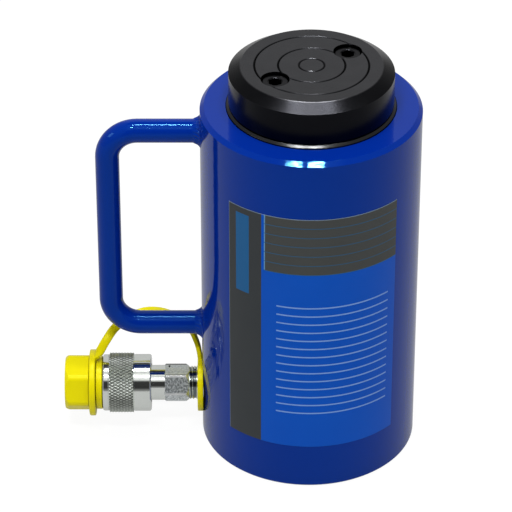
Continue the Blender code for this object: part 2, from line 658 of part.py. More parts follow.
def make_eye_bolt(name, stud_length, finish, axis):
    """A flanged stud with a flat eye; the eye's centre is the piece's own origin."""
    eye = EYE_WIDTH / 2
    flange_top = -EYE_STAND_OFF
    flange_bottom = flange_top - EYE_FLANGE_THICKNESS
    flange = EYE_FLANGE_DIAMETER / 2
    stud = EYE_STUD_DIAMETER / 2
    outline = [(0.0, flange_bottom - stud_length), (stud, flange_bottom - stud_length),
               (stud, flange_bottom), (flange, flange_bottom), (flange, flange_top),
               (0.0, flange_top)]
    bolt = turned(name, outline, finish, axis, COUPLER_STEPS)
    plate = bmesh.new()
    arc = [(eye * math.cos(turn), eye * math.sin(turn))
           for turn in (math.pi * step / BEND_STEPS for step in range(BEND_STEPS + 1))]
    rim = [(eye, flange_top - EYE_FLANGE_THICKNESS / 2)] + arc
    rim.append((-eye, flange_top - EYE_FLANGE_THICKNESS / 2))
    corners = [plate.verts.new((-EYE_THICKNESS / 2, across, height)) for across, height in rim]
    plate.faces.new(corners)
    lifted = bmesh.ops.extrude_face_region(plate, geom=plate.faces[:])
    verts = [item for item in lifted["geom"] if isinstance(item, bmesh.types.BMVert)]
    bmesh.ops.translate(plate, verts=verts, vec=(EYE_THICKNESS, 0, 0))
    tongue = add_piece(name + "_tongue", plate, None, axis)
    hole = round_cutter(name + "_eye_cutter", EYE_HOLE_DIAMETER / 2, -EYE_THICKNESS, EYE_THICKNESS,
                        axis, COUPLER_STEPS)
    hole.rotation_euler = (0.0, math.pi / 2, 0.0)
    boolean(bolt, tongue, "UNION")
    return boolean(bolt, hole, "DIFFERENCE")


def make_spring_mounts(finishes, body_axis, plunger_axis):
    """Eye bolt in the floor, and one hung from the rod's crown with a nut."""
    lower = add_axis("lower_eye_centre", (0.0, 0.0, LOWER_EYE))
    lower.parent = body_axis
    make_eye_bolt("spring_anchor", ANCHOR_STUD_LENGTH - GAP, finishes["machined_steel"], lower)
    upper = add_axis("upper_eye_centre", (0.0, 0.0, UPPER_EYE), (math.pi, 0.0, 0.0))
    upper.parent = plunger_axis
    stud_length = NUT_FLOOR + GAP + HANGER_NUT_HEIGHT - (CAVITY_TOP - GAP)
    make_eye_bolt("spring_hanger", stud_length, finishes["machined_steel"], upper)
    nut = hexagon("hanger_nut", HANGER_NUT_FLATS, NUT_FLOOR + GAP,
                  NUT_FLOOR + GAP + HANGER_NUT_HEIGHT, finishes["black_oxide"], plunger_axis)
    hole = round_cutter("nut_cutter", EYE_STUD_DIAMETER / 2 + GAP, NUT_FLOOR - CUTTER_MARGIN,
                        ROD_TOP + BOSS_HEIGHT + CUTTER_MARGIN, plunger_axis)
    boolean(nut, hole, "DIFFERENCE")


def make_return_spring(finish, axis):
    """Tension spring, lightly stretched at rest; each end turns up into a hook through an eye."""
    mean = SPRING_MEAN_DIAMETER / 2
    lower_centre = LOWER_EYE + mean
    upper_centre = UPPER_EYE - mean
    coil_bottom = lower_centre + SPRING_LEAD_IN
    coil_top = upper_centre - SPRING_LEAD_IN
    turns = max(1, int((coil_top - coil_bottom) / (SPRING_WIRE + SPRING_COIL_GAP)))
    sweep = math.tau * turns - 2 * SPRING_LEAD_ANGLE
    lower_hook = []
    for step in range(BEND_STEPS + 1):
        turn = -math.pi / 2 - HOOK_TIP_ANGLE + step / BEND_STEPS * (math.pi / 2 + HOOK_TIP_ANGLE)
        lower_hook.append(Vector((mean * math.cos(turn), 0.0, lower_centre + mean * math.sin(turn))))
    coil = []
    count = int(SPRING_POINTS_PER_TURN * turns)
    for step in range(count + 1):
        turn = SPRING_LEAD_ANGLE + sweep * step / count
        height = coil_bottom + (coil_top - coil_bottom) * step / count
        coil.append(Vector((mean * math.cos(turn), mean * math.sin(turn), height)))
    half = SPRING_LEAD_ANGLE / 3
    rise = Vector((mean * math.cos(half), mean * math.sin(half), coil_bottom - SPRING_LEAD_IN / 3))
    fall = Vector((rise.x, -rise.y, coil_top + SPRING_LEAD_IN / 3))
    middle = (lower_centre + upper_centre) / 2
    upper_hook = [Vector((p.x, p.y, 2 * middle - p.z)) for p in reversed(lower_hook)]
    centres = lower_hook + [rise] + coil + [fall] + upper_hook
    section = circle_section(SPRING_WIRE / 2, WIRE_SIDES)
    return swept("return_spring", centres, section, (0, 1, 0), finish, axis)


def make_handle(finish, axis):
    """Round bar bent twice and welded to the barrel; the weld beads flare at its ends."""
    bend = HANDLE_BEND_RADIUS
    inside = BODY_RADIUS - CUTTER_MARGIN
    corner = HANDLE_REACH - bend
    line = [Vector((-inside, 0.0, HANDLE_UPPER_LEG))]
    for step in range(4):
        reach = BODY_RADIUS + WELD_LENGTH * step / 3
        line.append(Vector((-reach, 0.0, HANDLE_UPPER_LEG)))
    for step in range(BEND_STEPS + 1):
        turn = math.pi / 2 * step / BEND_STEPS
        line.append(Vector((-corner - bend * math.sin(turn), 0.0,
                            HANDLE_UPPER_LEG - bend + bend * math.cos(turn))))
    middle = (HANDLE_UPPER_LEG + HANDLE_LOWER_LEG) / 2
    line += [Vector((p.x, p.y, 2 * middle - p.z)) for p in reversed(line)]

    def flare(centre):
        along = max(0.0, 1.0 - (-centre.x - BODY_RADIUS) / WELD_LENGTH)
        near_leg = -centre.x < corner - GAP
        return 1.0 + (min(along, 1.0) ** 2 * WELD_FLARE / (HANDLE_BAR_DIAMETER / 2) if near_leg else 0.0)

    section = circle_section(HANDLE_BAR_DIAMETER / 2, BAR_SIDES)
    handle = swept("carry_handle", line, section, (0, 1, 0), finish, axis, flare)
    barrel = round_cutter("barrel_cutter", BODY_RADIUS + GAP, -CUTTER_MARGIN, BODY_TOP, axis,
                          BODY_STEPS)
    return boolean(handle, barrel, "DIFFERENCE")


def nipple_outline():
    """The taper thread's outline, with its ridges where it stands clear of the port."""
    outline = [(0.0, PORT_BOTTOM + GAP), (NIPPLE_END_RADIUS, PORT_BOTTOM + GAP)]
    station = BODY_RADIUS + GAP + TETHER_RING_THICKNESS + THREAD_PITCH / 2
    outline.append((NIPPLE_MOUTH_RADIUS, station - THREAD_PITCH / 2))
    while station + THREAD_PITCH < HEX_START:
        outline += [(NIPPLE_MOUTH_RADIUS - THREAD_DEPTH, station),
                    (NIPPLE_MOUTH_RADIUS, station + THREAD_PITCH / 2)]
        station += THREAD_PITCH
    outline.append((NIPPLE_MOUTH_RADIUS, HEX_START + GAP))
    return outline


def make_coupler_body(finish, axis):
    """Coupler half: taper thread, wrench hexagon, neck, flange and sealing face."""
    ring_depth = WIRE_RING_SECTION / 2 + GAP
    outline = nipple_outline() + [
        (NECK_RADIUS - HEX_CHAMFER, HEX_START + GAP),
        (NECK_RADIUS - HEX_CHAMFER, HEX_END - GAP),
        (NECK_RADIUS, HEX_END - GAP),
        (NECK_RADIUS, WIRE_RING_STATION - ring_depth),
        (WIRE_RING_CENTRE - ring_depth, WIRE_RING_STATION - ring_depth),
        (WIRE_RING_CENTRE - ring_depth, WIRE_RING_STATION + ring_depth),
        (NECK_RADIUS, WIRE_RING_STATION + ring_depth),
        (NECK_RADIUS, FLANGE_START), (COLLAR_THREAD_RADIUS - GAP, FLANGE_START),
        (COLLAR_THREAD_RADIUS - GAP, FLANGE_END), (COUPLER_FACE_RADIUS, FLANGE_END),
        (COUPLER_FACE_RADIUS, COUPLER_END), (0.0, COUPLER_END),
    ]
    coupler = turned("coupler_body", outline, finish, axis, COUPLER_STEPS)
    wrench = hexagon("wrench_hexagon", HEX_FLATS, HEX_START, HEX_END, None, axis, HEX_TURN)
    barrel = [(0.0, HEX_START - GAP), (HEX_CORNER - HEX_CHAMFER, HEX_START - GAP),
              (HEX_CORNER + GAP, HEX_START + HEX_CHAMFER),
              (HEX_CORNER + GAP, HEX_END - HEX_CHAMFER),
              (HEX_CORNER - HEX_CHAMFER, HEX_END + GAP), (0.0, HEX_END + GAP)]
    boolean(wrench, turned("wrench_chamfer", barrel, None, axis, COUPLER_STEPS), "INTERSECT")
    boolean(coupler, wrench, "UNION")
    boolean(coupler, make_valve_bore(axis), "DIFFERENCE")
    return boolean(coupler, make_face_groove(axis), "DIFFERENCE")


def make_valve_bore(axis):
    """Cutter for the oil way, the conical valve seat and the mouth."""
    outline = [(0.0, PORT_BOTTOM - CUTTER_MARGIN), (VALVE_BORE_RADIUS, PORT_BOTTOM - CUTTER_MARGIN),
               (VALVE_BORE_RADIUS, SEAT_START), (VALVE_MOUTH_RADIUS, SEAT_END),
               (VALVE_MOUTH_RADIUS, COUPLER_END + CUTTER_MARGIN),
               (0.0, COUPLER_END + CUTTER_MARGIN)]
    return turned("valve_bore_cutter", outline, None, axis, COUPLER_STEPS)


def make_face_groove(axis):
    """Cutter for the O-ring groove in the sealing face."""
    half = FACE_SEAL_SECTION / 2 + GAP
    return ring("face_groove_cutter", FACE_SEAL_RADIUS - half, FACE_SEAL_RADIUS + half,
                COUPLER_END - FACE_SEAL_SECTION - GAP, COUPLER_END + CUTTER_MARGIN,
                None, axis, COUPLER_STEPS)


def make_valve(finishes, axis):
    """Poppet, its guide and its spring inside the coupler body."""
    head = VALVE_BORE_RADIUS - GAP
    nose = VALVE_MOUTH_RADIUS - GAP
    outline = [(0.0, POPPET_BACK - POPPET_STEM_LENGTH),
               (POPPET_STEM_RADIUS, POPPET_BACK - POPPET_STEM_LENGTH),
               (POPPET_STEM_RADIUS, POPPET_BACK), (head, POPPET_BACK),
               (head, SEAT_START - GAP), (nose, SEAT_END - GAP),
               (nose, COUPLER_END - GAP), (0.0, COUPLER_END - GAP)]
    turned("coupler_poppet", outline, finishes["plated_steel"], axis, COUPLER_STEPS)
    guide = ring("coupler_valve_guide", POPPET_STEM_RADIUS + GAP, head,
                 GUIDE_END - VALVE_GUIDE_LENGTH, GUIDE_END, finishes["machined_steel"],
                 axis, COUPLER_STEPS)
    for number in range(3):
        slot = round_cutter(f"guide_slot_cutter_{number + 1}", VALVE_GUIDE_SLOT_RADIUS,
                            GUIDE_END - 2 * VALVE_GUIDE_LENGTH, GUIDE_END + VALVE_GUIDE_LENGTH, axis)
        turn = math.tau * number / 3
        slot.location = (head * math.cos(turn), head * math.sin(turn), 0.0)
        boolean(guide, slot, "DIFFERENCE")
    wire = VALVE_SPRING_WIRE / 2
    bottom, top = GUIDE_END + GAP + wire, POPPET_BACK - GAP - wire
    count = VALVE_SPRING_TURNS * VALVE_SPRING_POINTS_PER_TURN
    centres = []
    for step in range(count + 1):
        turn = math.tau * VALVE_SPRING_TURNS * step / count
        centres.append(Vector((VALVE_SPRING_RADIUS * math.cos(turn),
                               VALVE_SPRING_RADIUS * math.sin(turn),
                               bottom + (top - bottom) * step / count)))
    swept("coupler_valve_spring", centres, circle_section(wire, WIRE_SIDES - 1), (0, 0, 1),
          finishes["spring_steel"], axis)
    round_ring("coupler_o_ring", FACE_SEAL_RADIUS, FACE_SEAL_SECTION,
               COUPLER_END - FACE_SEAL_SECTION / 2, finishes["seal_rubber"], axis, COUPLER_STEPS)
    round_ring("collar_retaining_ring", WIRE_RING_CENTRE, WIRE_RING_SECTION, WIRE_RING_STATION,
               finishes["spring_steel"], axis, COUPLER_STEPS)


def make_collar(finish, axis):
    """Free-spinning collar: plain rear, knurled grip and plain front ring."""
    rear_bore = HEX_CORNER + GAP
    ring_half = WIRE_RING_SECTION / 2 + GAP
    knurl_core = COLLAR_KNURL_RADIUS - KNURL_DEPTH / 2
    row = COLLAR_KNURL_LENGTH / KNURL_ROWS
    outline = [
        (rear_bore, COLLAR_START), (COLLAR_REAR_RADIUS - COLLAR_EDGE, COLLAR_START),
        (COLLAR_REAR_RADIUS, COLLAR_START + COLLAR_EDGE), (COLLAR_REAR_RADIUS, KNURL_START),
    ]
    outline += [(knurl_core, KNURL_START + row * number) for number in range(KNURL_ROWS + 1)]
    outline += [
        (COLLAR_FRONT_RADIUS, KNURL_END), (COLLAR_FRONT_RADIUS, COLLAR_END - COLLAR_EDGE),
        (COLLAR_FRONT_RADIUS - COLLAR_EDGE, COLLAR_END), (COLLAR_THREAD_RADIUS, COLLAR_END),
        (COLLAR_THREAD_RADIUS, COLLAR_SHOULDER), (rear_bore, COLLAR_SHOULDER),
        (rear_bore, WIRE_RING_STATION + ring_half),
        (WIRE_RING_CENTRE + ring_half, WIRE_RING_STATION + ring_half),
        (WIRE_RING_CENTRE + ring_half, WIRE_RING_STATION - ring_half),
        (rear_bore, WIRE_RING_STATION - ring_half),
    ]
    collar = turned("coupler_collar", outline, finish, axis, COLLAR_STEPS, closed=True)
    raise_knurl(collar.data, knurl_core, row)
    return collar


def raise_knurl(mesh, core, row):
    """Moves every other point of the grip in and out, which leaves crossed diamond ridges."""
    for point in mesh.vertices:
        radius = math.hypot(point.co.x, point.co.y)
        if abs(radius - core) > KNURL_DEPTH / 4:
            continue
        column = round(math.atan2(point.co.y, point.co.x) / math.tau * COLLAR_STEPS)
        level = round((point.co.z - KNURL_START) / row)
        sign = 1 if (column + level) % 2 else -1
        reach = (core + sign * KNURL_DEPTH / 2) / radius
        point.co.x *= reach
        point.co.y *= reach


def make_dust_cap(finishes, axis):
    """Threaded plug with a hexagon head, a groove for the tether's loop and a gasket."""
    spigot = COLLAR_THREAD_RADIUS - GAP
    hollow = spigot - CAP_SPIGOT_WALL
    spigot_end = CAP_START - CAP_SPIGOT_LENGTH
    hollow_end = COUPLER_END + GAP + GASKET_THICKNESS + GAP
    outline = [
        (hollow, spigot_end), (spigot, spigot_end), (spigot, CAP_START),
        (CAP_SHOULDER_RADIUS, CAP_START), (CAP_SHOULDER_RADIUS, CAP_GROOVE_START),
        (CAP_GROOVE_RADIUS, CAP_GROOVE_START), (CAP_GROOVE_RADIUS, CAP_HEX_START + GAP),
        (0.0, CAP_HEX_START + GAP), (0.0, hollow_end), (hollow, hollow_end),
    ]
    cap = turned_cap(outline, finishes["yellow_plastic"], axis)
    head = hexagon("cap_hexagon", CAP_HEX_FLATS, CAP_HEX_START, CAP_END, None, axis,
                   CAP_HEX_TURN, CAP_HEX_ROUND)
    corner = CAP_HEX_FLATS / math.sqrt(3)
    rounding = [(0.0, CAP_HEX_START - GAP), (corner, CAP_HEX_START - GAP),
                (corner, CAP_END - 2 * CAP_END_CHAMFER),
                (CAP_HEX_FLATS / 2 - CAP_END_CHAMFER / 2, CAP_END), (0.0, CAP_END)]
    boolean(head, turned("cap_rounding", rounding, None, axis, COUPLER_STEPS), "INTERSECT")
    boolean(cap, head, "UNION")
    ring("cap_gasket", GASKET_HOLE_RADIUS, hollow - GAP, COUPLER_END + GAP,
         COUPLER_END + GAP + GASKET_THICKNESS, finishes["seal_rubber"], axis, COUPLER_STEPS)


def turned_cap(outline, finish, axis):
    """The cap's outline starts and ends on its hollow, so the axis points come in the middle."""
    centre = next(index for index, point in enumerate(outline) if point[0] == 0.0)
    ordered = outline[centre + 1:] + outline[:centre + 1]
    return turned("dust_cap", ordered, finish, axis, COUPLER_STEPS)


def tether_line():
    """The strap's centre line in world coordinates, from the cap's loop to the port's ring."""
    loop = Vector((-TETHER_LOOP_STATION, 0.0, PORT_HEIGHT))
    port = Vector((-TETHER_RING_STATION, 0.0, PORT_HEIGHT))
    points = [loop + Vector(offset) for offset in TETHER_FROM_LOOP]
    points += [port + Vector(offset) for offset in TETHER_FROM_PORT]
    return smooth_line(points, 3)


def across_tether(centre, tangent):
    """The direction of the strap's width, which twists between its two rings."""
    travel = (centre.x + TETHER_LOOP_STATION) / (TETHER_LOOP_STATION - TETHER_RING_STATION)
    rise = (travel - TETHER_TWIST_START) / (TETHER_TWIST_FULL - TETHER_TWIST_START)
    fall = (TETHER_TWIST_END - travel) / (TETHER_TWIST_END - TETHER_TWIST_FADE)
    twist = max(0.0, min(1.0, rise, fall))
    flat = Vector(TETHER_FLAT_TOWARDS).cross(tangent).normalized()
    return Vector((0.0, 1.0, 0.0)).lerp(flat, twist)


def make_tether(finish, world_axis, coupler_axis):
    """Moulded strap: a ring trapped at the port, the strap, and a loop in the cap's groove."""
    line = tether_line()
    section = strap_section(TETHER_WIDTH, TETHER_THICKNESS)
    half = TETHER_RING_THICKNESS / 2
    anchor = ring("tether_strap", NIPPLE_MOUTH_RADIUS + GAP, TETHER_RING_RADIUS,
                  TETHER_RING_STATION - half, TETHER_RING_STATION + half, finish,
                  coupler_axis, COUPLER_STEPS)
    step = (line[TETHER_TAB_STEPS] - line[TETHER_TAB_STEPS - 1]).normalized()
    start = line[TETHER_TAB_STEPS - 1] + step * GAP
    strap = swept("strap_length", [start] + line[TETHER_TAB_STEPS:], section, (0, 1, 0),
                  None, world_axis, across=across_tether)
    boolean(anchor, strap, "UNION")
    loop_half = CAP_GROOVE_LENGTH / 2 - GAP
    loop = ring("tether_cap_loop", CAP_GROOVE_RADIUS + GAP, TETHER_LOOP_RADIUS,
                TETHER_LOOP_STATION - loop_half, TETHER_LOOP_STATION + loop_half, finish,
                coupler_axis, COUPLER_STEPS)
    tab = swept("strap_tab", line[:TETHER_TAB_STEPS], section, (0, 1, 0), None, world_axis,
                across=across_tether)
    boolean(loop, tab, "UNION")


def build():
    clear_scene()
    finishes = make_finishes()
    body_axis = add_axis("body_axis")
    plunger_axis = add_axis("plunger_axis")
    coupler_axis = add_axis("coupler_axis", (0.0, 0.0, PORT_HEIGHT), (0.0, -math.pi / 2, 0.0))
    make_cylinder_body(finishes["blue_paint"], body_axis, coupler_axis)
    make_gland(finishes, body_axis)
    make_plunger_rod(finishes["ground_steel"], plunger_axis)
    make_piston(finishes, plunger_axis)
    make_saddle(finishes["black_oxide"], plunger_axis)
    make_saddle_screws(finishes["black_oxide"], plunger_axis)
    make_spring_mounts(finishes, body_axis, plunger_axis)
    make_return_spring(finishes["spring_steel"], body_axis)
    make_handle(finishes["blue_paint"], body_axis)
    make_coupler_body(finishes["plated_steel"], coupler_axis)
    make_valve(finishes, coupler_axis)
    make_collar(finishes["plated_steel"], coupler_axis)
    make_dust_cap(finishes, coupler_axis)
    make_tether(finishes["yellow_plastic"], body_axis, coupler_axis)


build()
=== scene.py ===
# %% [markdown]
# A spring-return hydraulic cylinder, dressed for its picture.
# The imported CAD model comes in first as a fixed frame. Every later step either gives a CAD node
# a better finish, or models a finer piece in the same place; most such pieces ride on the same
# body.

# %% Load the imported model
import json
import math

import bpy
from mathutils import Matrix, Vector

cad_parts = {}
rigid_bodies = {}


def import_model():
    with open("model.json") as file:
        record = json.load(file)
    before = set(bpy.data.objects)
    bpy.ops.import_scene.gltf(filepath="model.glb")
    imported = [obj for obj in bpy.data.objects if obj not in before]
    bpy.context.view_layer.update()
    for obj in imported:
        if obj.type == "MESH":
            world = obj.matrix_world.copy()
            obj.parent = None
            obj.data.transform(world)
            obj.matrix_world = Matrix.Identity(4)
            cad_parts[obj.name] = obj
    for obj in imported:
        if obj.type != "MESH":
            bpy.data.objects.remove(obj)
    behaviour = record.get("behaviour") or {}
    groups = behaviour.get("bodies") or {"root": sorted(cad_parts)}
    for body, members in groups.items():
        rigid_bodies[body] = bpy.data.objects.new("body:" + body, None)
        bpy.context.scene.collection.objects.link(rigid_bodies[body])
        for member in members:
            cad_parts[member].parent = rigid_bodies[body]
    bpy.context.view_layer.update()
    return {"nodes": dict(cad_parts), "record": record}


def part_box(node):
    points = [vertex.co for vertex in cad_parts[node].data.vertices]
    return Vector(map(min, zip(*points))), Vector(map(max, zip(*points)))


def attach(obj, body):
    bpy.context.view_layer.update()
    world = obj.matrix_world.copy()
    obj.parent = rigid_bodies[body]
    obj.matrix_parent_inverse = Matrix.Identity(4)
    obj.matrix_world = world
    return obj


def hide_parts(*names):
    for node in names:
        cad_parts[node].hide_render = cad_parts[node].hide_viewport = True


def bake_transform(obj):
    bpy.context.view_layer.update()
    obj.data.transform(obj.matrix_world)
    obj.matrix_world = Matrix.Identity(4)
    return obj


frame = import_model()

bpy.ops.object.select_all(action="DESELECT")
print("CAD nodes:", len(frame["nodes"]))

# %% [markdown]
# Sizes. What the frame can tell is read from the frame, so a changed CAD model carries over.
# All lengths are in metres. The coupler lies on its own axis: it leaves the barrel along -X at
# the port's height, and its stations count outwards from the cylinder's axis.

# %% Sizes read from the frame
GAP = 0.0003
_, body_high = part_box("cylinder_body")
gland_low, gland_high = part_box("gland_nut")
rod_low, rod_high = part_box("plunger_rod")
saddle_low, saddle_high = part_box("saddle")
handle_low, handle_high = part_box("carry_handle")
collar_low, collar_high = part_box("coupler_collar")
BODY_RADIUS = body_high[0]
BODY_TOP = body_high[2]
PORT_HEIGHT = (collar_low[2] + collar_high[2]) / 2
print("barrel radius", round(BODY_RADIUS, 4), "top", round(BODY_TOP, 4))
print("port height", round(PORT_HEIGHT, 4))

# %% [markdown]
# The camera stands where the photographer stood: slightly left of the cylinder, a long lens
# looking down at a third of a right angle. It was fitted to the outlines of rims and base.

# %% Camera
CAMERA_PLACE = (-0.02594, -1.29610, 0.96639)
CAMERA_TILT = math.radians(56.24)
CAMERA_LENS = 226.4

bpy.ops.object.camera_add(location=CAMERA_PLACE, rotation=(CAMERA_TILT, 0.0, 0.0))
camera = bpy.context.object
camera.data.lens = CAMERA_LENS
camera.data.sensor_width = 36.0
camera.data.clip_end = 20.0
bpy.context.scene.camera = camera
bpy.context.scene.view_settings.view_transform = "Standard"

# %% [markdown]
# Shader maths reads best as plain Python. `Value` wraps one socket, and an operator on it adds
# the Math node. `Nodes` adds every other node by one method: its type, its settings, and the
# values or links of its sockets.

# %% Shader maths


class Value:
    """One socket's value; Python's operators on it add Math nodes."""

    def __init__(self, nodes, socket):
        self.nodes = nodes
        self.socket = socket

    def maths(self, operation, *others):
        values = dict(enumerate((self, *others)))
        return self.nodes.add("ShaderNodeMath", {"operation": operation}, values)

    def __add__(self, other):
        return self.maths("ADD", other)

    def __mul__(self, other):
        return self.maths("MULTIPLY", other)

    def __sub__(self, other):
        return self.maths("SUBTRACT", other)

    def __rsub__(self, other):
        return self.maths("MULTIPLY", -1.0) + other

    def __truediv__(self, other):
        return self.maths("DIVIDE", other)

    def __pow__(self, other):
        return self.maths("POWER", other)

    def __abs__(self):
        return self.maths("ABSOLUTE")

    def clamp(self):
        return self.maths("MINIMUM", 1.0).maths("MAXIMUM", 0.0)

    def __gt__(self, other):
        return self.maths("GREATER_THAN", other)

    def __lt__(self, other):
        return self.maths("LESS_THAN", other)

    __radd__ = __add__
    __rmul__ = __mul__


class Nodes:
    """A node tree that is filled by one method."""

    def __init__(self, tree):
        self.tree = tree
        tree.nodes.clear()

    def add(self, kind, settings=None, values=None, output=0):
        node = self.tree.nodes.new(kind)
        for name, setting in (settings or {}).items():
            setattr(node, name, setting)
        for name, value in (values or {}).items():
            if isinstance(value, Value):
                self.tree.links.new(value.socket, node.inputs[name])
            else:
                node.inputs[name].default_value = value
        return Value(self, node.outputs[output]) if node.outputs else None

    def axes(self, vector):
        """The three numbers of a vector."""
        split = self.add("ShaderNodeSeparateXYZ", None, {0: vector})
        outputs = split.socket.node.outputs
        return [Value(self, outputs[index]) for index in range(3)]

    def rays(self):
        """Two masks: rays from the camera, also through something clear, and mirrored rays."""
        from_camera = self.add("ShaderNodeLightPath")
        outputs = from_camera.socket.node.outputs
        through = Value(self, outputs["Is Transmission Ray"])
        return from_camera + through, Value(self, outputs["Is Glossy Ray"])

    def blend(self, factor, first, second):
        """A colour between two colours."""
        values = {0: factor, 6: first, 7: second}
        return self.add("ShaderNodeMix", {"data_type": "RGBA"}, values, 2)


class Finish(Nodes):
    """A material on Object coordinates, which a finished piece shares with the CAD frame."""

    def __init__(self, name):
        self.material = bpy.data.materials.new(name)
        self.material.use_nodes = True
        super().__init__(self.material.node_tree)
        self.place = self.add("ShaderNodeTexCoord", None, None, 3)

    def noise(self, scale, detail=2.0):
        return self.add("ShaderNodeTexNoise", None,
                        {"Vector": self.place, "Scale": scale, "Detail": detail})

    def streaks(self, along, scale, detail=2.0):
        """Noise that changes along one number only, as tool marks do."""
        return self.add("ShaderNodeTexNoise", {"noise_dimensions": "1D"},
                        {"W": along, "Scale": scale, "Detail": detail})

    def bump(self, height, distance, strength=1.0):
        return self.add("ShaderNodeBump", None,
                        {"Height": height, "Distance": distance, "Strength": strength})

    def surface(self, **values):
        """The shader and the output; a keyword's underscores stand for spaces."""
        named = {name.replace("_", " "): value for name, value in values.items()}
        shader = self.add("ShaderNodeBsdfPrincipled", None, named)
        self.add("ShaderNodeOutputMaterial", None, {"Surface": shader})
        return self.material


def opaque(red, green, blue):
    return (red, green, blue, 1.0)


WHITE = opaque(1.0, 1.0, 1.0)


# %% [markdown]
# The studio. The photographer used a white sweep behind the cylinder, two boxes of light above
# the front and one overhead. The room behind the camera was dark: bright metal shows that as dark
# bands, without which it would look like grey paper. The side walls were grey. The world's
# strength therefore depends on the kind of ray and, for reflections, on the direction. The angle
# is counted in the cylinder's fore-and-aft plane, from the horizon before it, up and over. Each
# span is a start, an end and the width of its soft edges, in degrees.

# %% World
BACKDROP_WHITE = 1.0
FILL_STRENGTH = 0.52
ROOM_MIRRORED = 0.032
WALLS_MIRRORED = 0.32
BOXES_MIRRORED = 0.78
SWEEP_MIRRORED = 0.57
HAZE_MIRRORED = 0.20
HALF_WIDTH_MIRRORED = 0.42
WALL_SHARPNESS = 8.0
BOXES_SPAN = (39, 98, 7)
SEAM_SPAN = (73, 77, 1)
SEAM_DARKER = 0.4
HAZE_SPAN = (-20, 12, 9)
SWEEP_SPAN = (120, 190, 4)

world = bpy.data.worlds.new("studio")
world.use_nodes = True
bpy.context.scene.world = world
sky = Nodes(world.node_tree)
across, depth, height = sky.axes(sky.add("ShaderNodeTexCoord", None, None, 0))
seen, is_glossy = sky.rays()
angle = abs(height.maths("ARCTAN2", 0.0 - depth))


def between(start, end, edge):
    """1 between two angles, with soft edges."""
    rise = ((angle - math.radians(start)) / math.radians(edge)).clamp()
    return rise * ((math.radians(end) - angle) / math.radians(edge)).clamp()


boxes = between(*BOXES_SPAN) * (BOXES_MIRRORED - ROOM_MIRRORED)
boxes = boxes - between(*SEAM_SPAN) * SEAM_DARKER + between(*HAZE_SPAN) * HAZE_MIRRORED
sweep = between(*SWEEP_SPAN) * (SWEEP_MIRRORED - ROOM_MIRRORED)
before_walls = ((HALF_WIDTH_MIRRORED - abs(across)) * WALL_SHARPNESS).clamp()
walls = (1.0 - before_walls) * (WALLS_MIRRORED - ROOM_MIRRORED)
mirrored = (boxes + sweep) * before_walls + walls + ROOM_MIRRORED
strength = seen * BACKDROP_WHITE + is_glossy * mirrored + (1.0 - seen - is_glossy) * FILL_STRENGTH
glow = sky.add("ShaderNodeBackground", None, {"Color": WHITE, "Strength": strength})
sky.add("ShaderNodeOutputWorld", None, {"Surface": glow})
print("world nodes:", len(world.node_tree.nodes))

# %% [markdown]
# Lamps. Each hangs at an angle above the horizon, seen from the cylinder's middle, and looks at
# it. The front pair makes the two lights on the barrel's rim: the camera looks down on the rim at
# 32 degrees, so its 45 degree chamfer mirrors what is 58 degrees up. The overhead box draws the
# thin light along both legs of the handle.

# %% Lamps
AIM = Vector((0.0, 0.0, 0.10))


def hang_lamp(name, elevation, azimuth, distance, width, depth_of_box, power):
    """A soft box at an elevation and a compass angle; azimuth 0 is the camera's side."""
    up, turn = math.radians(elevation), math.radians(azimuth)
    level = math.cos(up)
    direction = Vector((level * math.sin(turn), -level * math.cos(turn), math.sin(up)))
    place = AIM + direction * distance
    bpy.ops.object.light_add(type="AREA", location=place)
    lamp = bpy.context.object
    lamp.name = name
    lamp.rotation_euler = (AIM - place).to_track_quat("-Z", "Y").to_euler()
    lamp.data.shape = "RECTANGLE"
    lamp.data.size = width
    lamp.data.size_y = depth_of_box
    lamp.data.energy = power
    print(name, power, "W")


hang_lamp("front_box_left", 57.3, -22, 1.3, 0.25, 0.012, 4.4)
hang_lamp("front_box_right", 57.9, 6, 1.3, 0.25, 0.012, 4.6)
hang_lamp("overhead_box", 88.2, 0, 1.2, 0.60, 0.060, 10.5)
hang_lamp("side_box", 27, -78, 1.5, 0.50, 0.30, 1.4)

# %% [markdown]
# The floor is plain and white. For the camera it glows almost up to white, and the rest of its
# colour comes from real light, so the shadow stays as a faint grey. Metal and paint see it a
# little darker, as a lit table is when nothing is done to its picture.

# %% Floor
FLOOR_GLOW = 0.86
FLOOR_WHITE = 1.08
FLOOR_MIRRORED = 0.50
PAPER_GREY = opaque(0.62, 0.62, 0.62)

bpy.ops.mesh.primitive_plane_add(size=6.0)
floor = bpy.context.object
floor.name = "studio_floor"
floor_finish = Finish("studio_white")
seen_directly, seen_in_gloss = floor_finish.rays()
paper = floor_finish.add("ShaderNodeBsdfDiffuse", None, {"Color": PAPER_GREY})
brightness = seen_directly * FLOOR_WHITE + seen_in_gloss * FLOOR_MIRRORED
lit = floor_finish.add("ShaderNodeEmission", None, {"Color": WHITE, "Strength": brightness})
shown = (seen_directly + seen_in_gloss) * FLOOR_GLOW
mixed = floor_finish.add("ShaderNodeMixShader", None, {0: shown, 1: paper, 2: lit})
floor_finish.add("ShaderNodeOutputMaterial", None, {"Surface": mixed})
floor.data.materials.append(floor_finish.material)

# %% [markdown]
# Finishes. The barrel wears blue enamel: saturated from the front, paler where it turns away,
# with a faint orange peel from the spray gun.

# %% Blue enamel


def blue_enamel():
    paint = Finish("blue_enamel")
    cloud = paint.noise(22.0, 3.0)
    peel = paint.noise(420.0, 2.0)
    colour = paint.blend(cloud, opaque(0.0002, 0.0130, 0.182), opaque(0.0004, 0.0180, 0.212))
    return paint.surface(Base_Color=colour, Roughness=cloud * 0.03 + 0.045,
                         Specular_IOR_Level=0.40, Specular_Tint=opaque(0.16, 0.64, 1.0),
                         Normal=paint.bump(peel, 0.000020))
